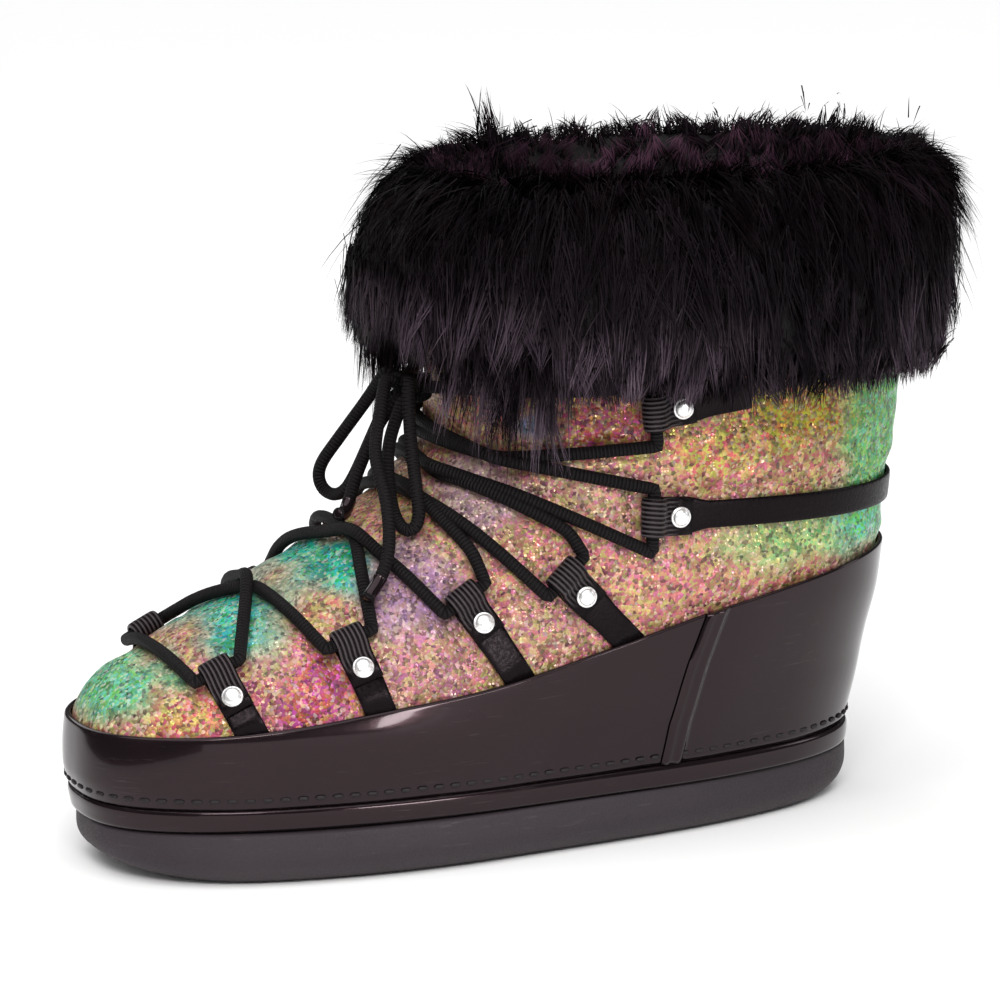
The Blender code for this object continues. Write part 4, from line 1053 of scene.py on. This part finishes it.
def crossingLine():
    (one, oneHeld), (two, twoHeld) = halfLace("near"), halfLace("far")
    bar = evenLine(tautLine(two[0], one[0], 26), spacing=2.0)[1:-1]
    line = np.vstack([two[::-1], bar, one])
    held = np.concatenate([twoHeld[::-1], np.zeros(len(bar)), oneHeld])[:, None]
    for _ in range(5):
        soft = line.copy()
        soft[1:-1] = 0.5 * line[1:-1] + 0.25 * (line[:-2] + line[2:])
        soft = soft + lastNormal(soft) * np.clip(lace["above"] - farFromSkin(soft), 0, 1)[:, None]
        line = np.where(held > 0, line, soft)
    return line


def makeCord(name, line, replaced):
    # Tube round the line; u runs once round and v along in braid lengths.
    count = lace["around"]
    scale = (1.0 / count, runOf(line)[-1] / len(line) / lace["braid"])
    grid = tubeGrid(line, lace["radius"], count)
    return gridPiece(name, grid, looks["cord"], wrapFirst=True, caps=True, slotName="cord", replaced=replaced, scale=scale)


def leaveKnot(place):
    # Two points that lead straight out of the knot's ellipsoid toward a place.
    knot, half = np.array(lace["knot"]), np.array(lace["knotHalf"])
    away = unit((np.asarray(place) - knot) / half)
    facing = unit(away / half)
    start = knot + away * half + facing * 0.4
    return np.array([start, start + facing * 4.0])


def bowLine(name, crossings):
    # The listed points, leaving the knot straight, pushed clear of the crossings and the skin.
    points = np.array(lace["bow"][name], float)
    first, last = leaveKnot(points[0]), leaveKnot(points[-1])
    points = np.vstack([first, points[1:-1], last[::-1]]) if "loop" in name else np.vstack([first, points[1:]])
    line = smoothLine(points, spacing=2.0)
    free = np.clip((np.arange(len(line)) - 2) / 4, 0, 1)
    if "loop" in name:
        free = np.minimum(free, free[::-1])
    for _ in range(14):
        apart = np.linalg.norm(line[:, None] - crossings[None], axis=2).min(axis=1)
        short = np.clip(2 * lace["radius"] + 0.8 - apart, 0, 1.0)
        above = np.clip(lace["radius"] + 0.9 - farFromSkin(line), 0, 1.0)
        line = line + lastNormal(line) * (np.maximum(short, above) * free)[:, None]
        line[3:-3] = 0.8 * line[3:-3] + 0.1 * (line[2:-4] + line[4:-2])
    return line


def makeTip(name, line):
    # Moulded sleeve over the last of the lace: the cord's end, a little wider, with a rolled mouth and a rounded end.
    run = runOf(line)
    place = run[-1] - lace["tip"][:, 0]
    line = np.vstack([line, line[-1] + (line[-1] - line[-2]) / run[-1] * len(line)])
    grid = tubeGrid(lineAt(line, runOf(line), place), lace["tip"][:, 1], 20)
    return gridPiece(name, grid, looks["patent"], wrapFirst=True, caps=True)


def makeKnot():
    # Trefoil: (sin t + 2 sin 2t, cos t - 2 cos 2t, -sin 3t), drawn to the knot's half sizes less the cord's radius.
    t, count = ringTurns(150), lace["around"]
    line = np.stack([np.sin(t) + 2 * np.sin(2 * t), -np.sin(3 * t), np.cos(t) - 2 * np.cos(2 * t)], -1) / [2.76, 1.0, 3.0]
    line = np.array(lace["knot"]) + line * (np.array(lace["knotHalf"]) - lace["radius"])
    grid = tubeGrid(np.vstack([line[-3:], line, line[:3]]), lace["radius"], count)[:, 3:-3]
    return gridPiece("knot_wraps", grid, looks["cord"], wrapFirst=True, caps=True, slotName="cord",
                     replaced=("lace_knot",), scale=(1.0 / count, 0.5 / lace["braid"]))


def makeLaces():
    crossings = crossingLine()
    makeCord("lacing", smoothLine(crossings, spacing=1.6), ("lace_crossings",))
    knot = makeKnot()
    for name in lace["bow"]:
        line = smoothLine(bowLine(name, crossings), spacing=1.2)
        cord = makeCord(name.replace("lace", "bow"), line, (name,))
        isLoop = "loop" in name
        pieces = [] if isLoop else [makeTip(name.replace("lace_end", "lace_tip"), line)]
        if name == "lace_loop_far":
            pieces = [knot]
    return crossings


crossings = makeLaces()
print("laces made")


# Upper: padded shell with listed creases, and its lining and foot bed
upper = {
    "wall": 2.6, "bottom": 18.9, "collar": 222.0, "around": 420, "rows": 150, "puff": 1.7, "quilting": 0.22,
    "deepest": -0.9,
    # the rows change their spacing here, and the fur starts to press the puff flat here
    "closeRows": (46, 16), "underFur": (176, 14),
    "innerRows": (221.5, 180, 140, 120, 100, 80, 66, 56, 46, 34, 22),
    # creases: start, end (on the photographed side), depth, half width
    "creases": [
        ((57, 62, 118), (58, 78, 134), 1.1, 3.4), ((57, 88, 109), (58, 102, 98), 0.9, 3.6), ((58, 58, 100),
        (58, 84, 92), 0.8, 4.2),
        ((46, -6, 118), (55, 14, 126), 1.2, 3.2), ((34, -14, 128), (50, 6, 139), 1.2, 3.4), ((55, 14, 140),
        (58, 34, 137), 1.1, 3.0),
        ((44, -82, 64), (34, -88, 76), 0.9, 3.4), ((52, -40, 66), (44, -46, 84), 0.9, 3.6), ((56, 4, 72),
        (52, -4, 90), 0.8, 3.4),
        ((20, -122, 68), (40, -116, 58), 0.7, 4.6), ((0, -60, 101), (22, -64, 95), 0.8, 4.4), ((0, -100, 81),
        (18, -98, 80), 0.7, 4.6),
        ((40, 138, 128), (57, 112, 132), 0.9, 4.0), ((20, 153, 102), (44, 138, 98), 0.9, 4.2), ((58, 60, 140),
        (58, 96, 146), 0.8, 3.8),
    ],
}


def nearLine(points, line):
    # Distance from each point to the nearest point of the line, in chunks.
    out = np.empty(len(points))
    for k in range(0, len(points), 8000):
        out[k:k + 8000] = np.sqrt(((points[k:k + 8000, None] - line[None]) ** 2).sum(axis=2)).min(axis=1)
    return out


def clearOf(points, line, half, fade):
    # 0 under a strap or a lace of this half width, and 1 beyond its fade.
    return smoothStep((nearLine(points, line) - half) / fade)


def makeUpper():
    # The last moved out by a puff that starts above the rand and dies out under straps, laces and creases.
    turn = ringTurns(upper["around"])
    knee, few = upper["closeRows"]
    height = np.concatenate([np.linspace(upper["bottom"], knee, few, endpoint=False),
                             np.linspace(knee, upper["collar"], upper["rows"] - few)])
    points = lastPoint(*np.meshgrid(turn, height)).reshape(-1, 3)
    x, y, z = points.T
    near = np.stack([np.abs(x), y, z], -1)
    fromRand = smoothStep((z - randTop(y) + 0.6) / 9.0)
    free = clearOf(near, ankleLine(np.linspace(0, 0.5, 60)), 5.6, 9.0)
    for _, foot, loop, _ in strap["loops"]:
        line = pressed(evenLine(np.array([foot, loop], float), spacing=1.5))
        free = np.minimum(free, clearOf(near, line, strap["half"] + 1.0, 8.0))
    laces = clearOf(points, evenLine(crossings, spacing=2.5), 3.2, 6.0)
    furFrom, furFade = upper["underFur"]
    puff = upper["puff"] * fromRand * free * (0.45 + 0.55 * laces) * smoothStep((furFrom - z) / furFade)
    for first, second, depth, half in upper["creases"]:
        line = pressed(smoothLine([first, np.mean([first, second], axis=0) + [0, 1.5, 1.2], second], count=24))
        away = nearLine(near, line)
        puff -= depth * np.exp(-((away / half) ** 2)) * fromRand * (0.35 + 0.65 * free)
        puff += 0.45 * depth * np.exp(-(((away - 2.1 * half) / half) ** 2)) * fromRand * free
    puff += upper["quilting"] * fromRand * free * np.sin(y * 0.31 + z * 0.17) * np.sin(z * 0.23 - x * 0.19)
    outer = points + lastNormal(points) * np.maximum(puff, upper["deepest"])[:, None]
    rim = skinPoint(turn, upper["collar"] - 0.3, -upper["wall"] / 2)
    rim[:, 2] = upper["collar"] + 0.6
    inner = np.stack([skinPoint(turn, z, -upper["wall"]) for z in upper["innerRows"]])
    grid = np.concatenate([outer.reshape(len(height), len(turn), 3), rim[None], inner])
    gridPiece("padded_upper", grid, looks["glitter"], wrapFirst=True, wrapSecond=True, slotName="glitter_fabric",
              replaced=("upper",))


lining = {
    "around": 260, "rows": 130, "bottom": 23.0, "top": 221.6, "pile": 1.1, "rolls": 0.5, "bed": 22.7, "bedFoot": 18.9,
}


def makeLining():
    # Inside face of the last, drawn in by wall and pile, with low rolls from a product of sines.
    turn = ringTurns(lining["around"])
    turns, heights = np.meshgrid(turn, np.linspace(lining["bottom"], lining["top"], lining["rows"]))
    rolls = lining["rolls"] * np.sin(turns * 23 + heights * 0.09) * np.sin(heights * 0.21 + turns * 3)
    out = -upper["wall"] - lining["pile"] + rolls
    out = np.where(heights > 200, np.maximum(out, -upper["wall"] - 0.8), out)
    grid = skinPoint(turns, heights, out)
    grid[:, :, 2] = heights
    piece = gridPiece("lining", grid, looks["fleece"], wrapSecond=True, slotName="felt")
    piece.data.flip_normals()


def makeFootBed():
    # Rings from the middle out to the wall, rising at the edge by the sixth power, over a flat underside.
    share = np.linspace(0.001, 1, 40)[:, None, None]
    edge = skinPoint(ringTurns(lining["around"]), 24.0, -upper["wall"] - 0.7)
    bed = edge.mean(axis=0) * [0, 1, 0] + (edge - edge.mean(axis=0)) * share
    dimples = 0.3 * np.sin(bed[:, :, 0] * 0.4) * np.sin(bed[:, :, 1] * 0.31)
    bed[:, :, 2] = lining["bed"] + 2.2 * share[:, :, 0] ** 6 + dimples
    lower = bed[[-1, 0]].copy()
    lower[:, :, 2] = lining["bedFoot"]
    gridPiece("foot_bed", np.concatenate([bed, lower]), looks["fleece"], wrapSecond=True, slotName="felt",
              replaced=("insole",))


makeUpper()
makeLining()
makeFootBed()
print("upper and lining made")


# Fur cuff: dark pile underneath, and clumped hairs over it
fur = {
    # degrees from the front, depth, bottom, top
    "shape": [(0, 29.0, 174.0, 228.0), (35, 28.0, 168.0, 229.0), (60, 26.0, 159.5, 231.0), (95, 24.5, 157.5, 232.0),
              (140, 19.0, 158.0, 232.0), (180, 14.0, 159.0, 231.0)],
    # share of the depth, share of the height, from under the cuff round to the inside of the collar
    "profile": [(0.10, 0.16), (0.45, 0.07), (0.78, 0.03), (0.93, 0.12), (1.0, 0.25), (1.0, 0.40), (1.0, 0.55),
                (0.98, 0.68),
                (0.92, 0.80), (0.80, 0.90), (0.58, 0.97), (0.30, 1.0), (0.02, 1.0), (-0.14, 0.95), (-0.21, 0.80),
                (-0.21, 0.62), (-0.15, 0.48)],
    "around": 530, "rows": 26, "clump": 6.2, "hairs": 34, "width": 0.55, "segments": 4, "seed": 5,
    # place on the profile and value there: how deep the pile lies under the cuff's outline, a hair's length, how it
    # stands off, how far it runs along before that, and how it droops
    "sink": [(0, 0.6), (0.12, 6.0), (0.7, 6.0), (0.82, 1.5), (1.0, 0.72)],
    "length": [(0, 5.5), (0.2, 9.0), (0.35, 17), (0.6, 19), (0.75, 15), (0.85, 11), (1.0, 13)],
    "lift": [(0, 0.45), (0.25, 0.65), (0.6, 0.55), (0.8, 0.35), (0.9, 0.7), (1.0, 1.0)],
    "flow": [(0, 1.9), (0.3, 1.8), (0.6, 1.5), (1.0, 1.1)],
    "droop": [(0, 0.5), (0.6, 0.5), (0.8, 0.35), (0.9, 0.0), (1.0, 0.0)],
    # height of the root and shade: grey-mauve locks low down, a near black band round the middle, a warm lit top; then
    # where on the profile the inside of the collar begins and its shade, the lit inside painted lighter
    "band": [(170, 1.0), (186, 1.0), (198, 0.5), (206, 0.12), (224, 0.05), (232, 0.3)], "litInside": (0.82, 1.7),
    # strays are drawn back softly at the sides: |x| above the first goes to first + second (1 - e^(-over / second))
    "sides": (92, 8),
    # the lobe that hangs over the laces: degrees from the front, spread, extra length
    "lobe": (34.0, 14.0, 23.0),
    # tufts along the top: degrees from the front (minus on the far side), length
    "tufts": [(-65, 7), (-63, 10), (-62.5, 8), (-61, 6), (-147, 4), (-151, 5), (-154, 6), (-160, 4), (-167, 6),
              (-120, 4), (165, 4)],
}


def furValue(name, at):
    return np.interp(at, *np.array(fur[name], float).T)


def fromFront(turn):
    # Degrees from the front, the same on both sides.
    return np.abs((np.degrees(turn) + 90 + 180) % 360 - 180)


def furSurface(turn, v, sink):
    # Point and outward normal of the cuff at turn and profile place v, drawn in by sink.
    profile = np.array(fur["profile"])
    at = np.linspace(0, 1, len(profile))

    def point(turn, v):
        angle = fromFront(turn)
        depth, bottom, top = eased(np.array(fur["shape"]), angle).T
        share, height = np.interp(v, at, profile[:, 0]), np.interp(v, at, profile[:, 1])
        lean = 1 - 0.62 * np.clip(1 - angle / 70, 0, 1) ** 0.7 * np.clip((height - 0.5) / 0.5, 0, 1)
        z = bottom + height * (top - bottom)
        p = skinPoint(turn, np.clip(z, 11, 238), np.where(share > 0, share * depth * lean, share * 24))
        p[:, 2] = z
        return p

    p = point(turn, v)
    alongTurn = point(turn + 0.01, v) - point(turn - 0.01, v)
    alongProfile = point(turn, np.clip(v + 0.02, 0, 1)) - point(turn, np.clip(v - 0.02, 0, 1))
    facing = unit(np.cross(alongTurn, alongProfile))
    return p - facing * np.reshape(sink, (-1, 1)), facing


def makeFurBase():
    # The cuff's surface sunk to the pile, with soft bumps from a product of sines.
    turns, vs = (grid.ravel() for grid in np.meshgrid(ringTurns(220), np.linspace(0, 1, 46)))
    bumps = 1.6 * np.sin(turns * 31 + vs * 17) * np.sin(vs * 41 - turns * 11)
    p, _ = furSurface(turns, vs, furValue("sink", vs) * (1 + bumps / 6))
    gridPiece("fur_pile", p.reshape(46, 220, 3), looks["pile"], wrapSecond=True, slotName="fur", replaced=("fur_cuff",))


def hairBatch(name, turn, v, length, lift, raised, seedValue):
    # Hairs in clumps: p(s) = root + length (s flow + s^2 droop), drawn toward the clump's own line by 0.75 s.
    # The nap runs down the outside, and up the inside and over the top. Ribbons face outward, half width w (1 - s)^0.6.
    chance = np.random.default_rng(seedValue)
    clumps, hairs, seg = len(turn), fur["hairs"], fur["segments"]
    n = clumps * hairs

    def each(ofClump):
        return np.repeat(ofClump, hairs, axis=0)

    sink = furValue("sink", v) * 0.85
    root, facing = furSurface(turn, v, sink)
    nap = unit(furSurface(turn, np.clip(v - 0.02, 0, 1), sink)[0] - root)
    down = np.array([0, 0, -1.0])
    around = np.cross(facing, down)
    around /= np.linalg.norm(around, axis=1, keepdims=True) + 1e-6
    bent = smoothStep((v - 0.4) / 0.2)[:, None]
    flow = (down * (1 - bent) + nap * bent) * furValue("flow", v)[:, None]
    flow = flow + facing * (lift * chance.uniform(0.7, 1.3, (clumps, 1))) + around * chance.normal(0, 0.38, (clumps, 1))
    flow = unit(flow) - down * raised[:, None]
    long = length * chance.uniform(0.7, 1.25, clumps)
    droop = down * furValue("droop", v)[:, None] + around * chance.normal(0, 0.2, (clumps, 1))
    rise, outward = each(flow), each(facing)
    spread = chance.normal(0, 1, (n, 3)) * each(np.where(raised > 0, 1.7, 2.8))[:, None]
    spread -= rise * np.sum(spread * rise, axis=1, keepdims=True)
    wild = (chance.random((n, 1)) < 0.06) * 1.0
    own = chance.normal(0, 1, (n, 3)) * (0.06 + 0.16 * wild)
    size = each(long)[:, None] * chance.uniform(0.6, 1.05, (n, 1))
    s = np.linspace(0, 1, seg + 1)[None, :, None]
    line = (each(root)[:, None] + spread[:, None] * (1 - 0.75 * s * (1 - wild[:, None]))
            + size[:, None] * (s * (rise + own)[:, None] + s**2 * each(droop)[:, None]))
    limit, soft = fur["sides"]
    over = np.clip(np.abs(line[..., 0]) - limit, 0, None)
    line[..., 0] = np.sign(line[..., 0]) * (np.abs(line[..., 0]) - over + soft * (1 - np.exp(-over / soft)))
    side = unit(np.cross(rise, outward + chance.normal(0, 0.5, (n, 3))))
    edge = side[:, None] * (fur["width"] / 2 * (1 - s[0, :-1]) ** 0.6)[None]
    pairs = np.stack([line[:, :-1] - edge, line[:, :-1] + edge], 2).reshape(n, 2 * seg, 3)
    points = np.concatenate([pairs, line[:, -1:]], axis=1)
    k = np.arange(seg - 1) * 2
    faces = np.vstack([np.stack([k, k + 1, k + 3], -1), np.stack([k, k + 3, k + 2], -1)])
    faces = np.vstack([faces, [2 * seg - 2, 2 * seg - 1, 2 * seg]])
    allFaces = (faces[None] + np.arange(n)[:, None, None] * (2 * seg + 1)).reshape(-1, 3)
    # painted light: hairs inside the collar get a higher shade, for the lit inside; the band's top is painted lit too
    insideFrom, insideLit = fur["litInside"]
    band = np.where(v > insideFrom, insideLit, furValue("band", root[:, 2]))
    shade = each(chance.uniform(0.05, 1.0, clumps) ** 1.9 * band) + chance.normal(0, 0.08, n) * each(band)
    along = np.append(np.repeat(np.arange(seg) / seg, 2), 1.0)
    uv = np.stack(np.broadcast_arrays(along[None], np.clip(shade, 0.01, 1)[:, None]), -1).reshape(-1, 2)
    coat = meshFrom(name, inMetres(points.reshape(-1, 3)), allFaces, looks["fur"], uv=uv[allFaces].reshape(-1, 2),
                    slotName="fur", replaced=("fur_cuff",), recalculated=False)
    normals = unit(outward * 0.8 + np.cross(side, rise) * 0.5 + chance.normal(0, 0.12, (n, 3)))
    coat.data.normals_split_custom_set_from_vertices(np.repeat(normals, 2 * seg + 1, axis=0).astype(np.float32))


def makeFurCoat():
    # Clump places on a jittered brick pattern over turn and profile, and the tufts, in three batches.
    chance = np.random.default_rng(fur["seed"])
    turn, v, count = [], [], int(fur["around"] / fur["clump"])
    for k, at in enumerate(np.linspace(0.05, 0.98, fur["rows"])):
        turn.append((np.arange(count) + (k % 2) / 2 + chance.uniform(-0.35, 0.35, count)) * 2 * math.pi / count)
        v.append(at + chance.uniform(-0.018, 0.018, count))
    turn, v = np.concatenate(turn), np.clip(np.concatenate(v), 0, 1)
    middle, spread, extra = fur["lobe"]
    hang = np.exp(-(((fromFront(turn) - middle) / spread) ** 4)) * np.interp(v, [0, 0.12, 0.25], [1, 0.9, 0])
    length = furValue("length", v) + extra * hang
    lift = furValue("lift", v) * (1 - 0.7 * hang)
    tufts = np.array(fur["tufts"], float)
    more = np.ones(len(tufts))
    raised = np.concatenate([0 * turn, 1.3 * more])
    turn = np.concatenate([turn, np.radians(tufts[:, 0] - 90)])
    v = np.concatenate([v, 0.80 * more])
    length = np.concatenate([length, tufts[:, 1]])
    lift = np.concatenate([lift, 0.5 * more])[:, None]
    for k, part in enumerate(np.array_split(chance.permutation(len(turn)), 3)):
        hairBatch(f"fur_hairs_{k + 1}", turn[part], v[part], length[part], lift[part], raised[part], 20 + k)


makeFurBase()
makeFurCoat()
print("fur made")


bpy.context.view_layer.update()
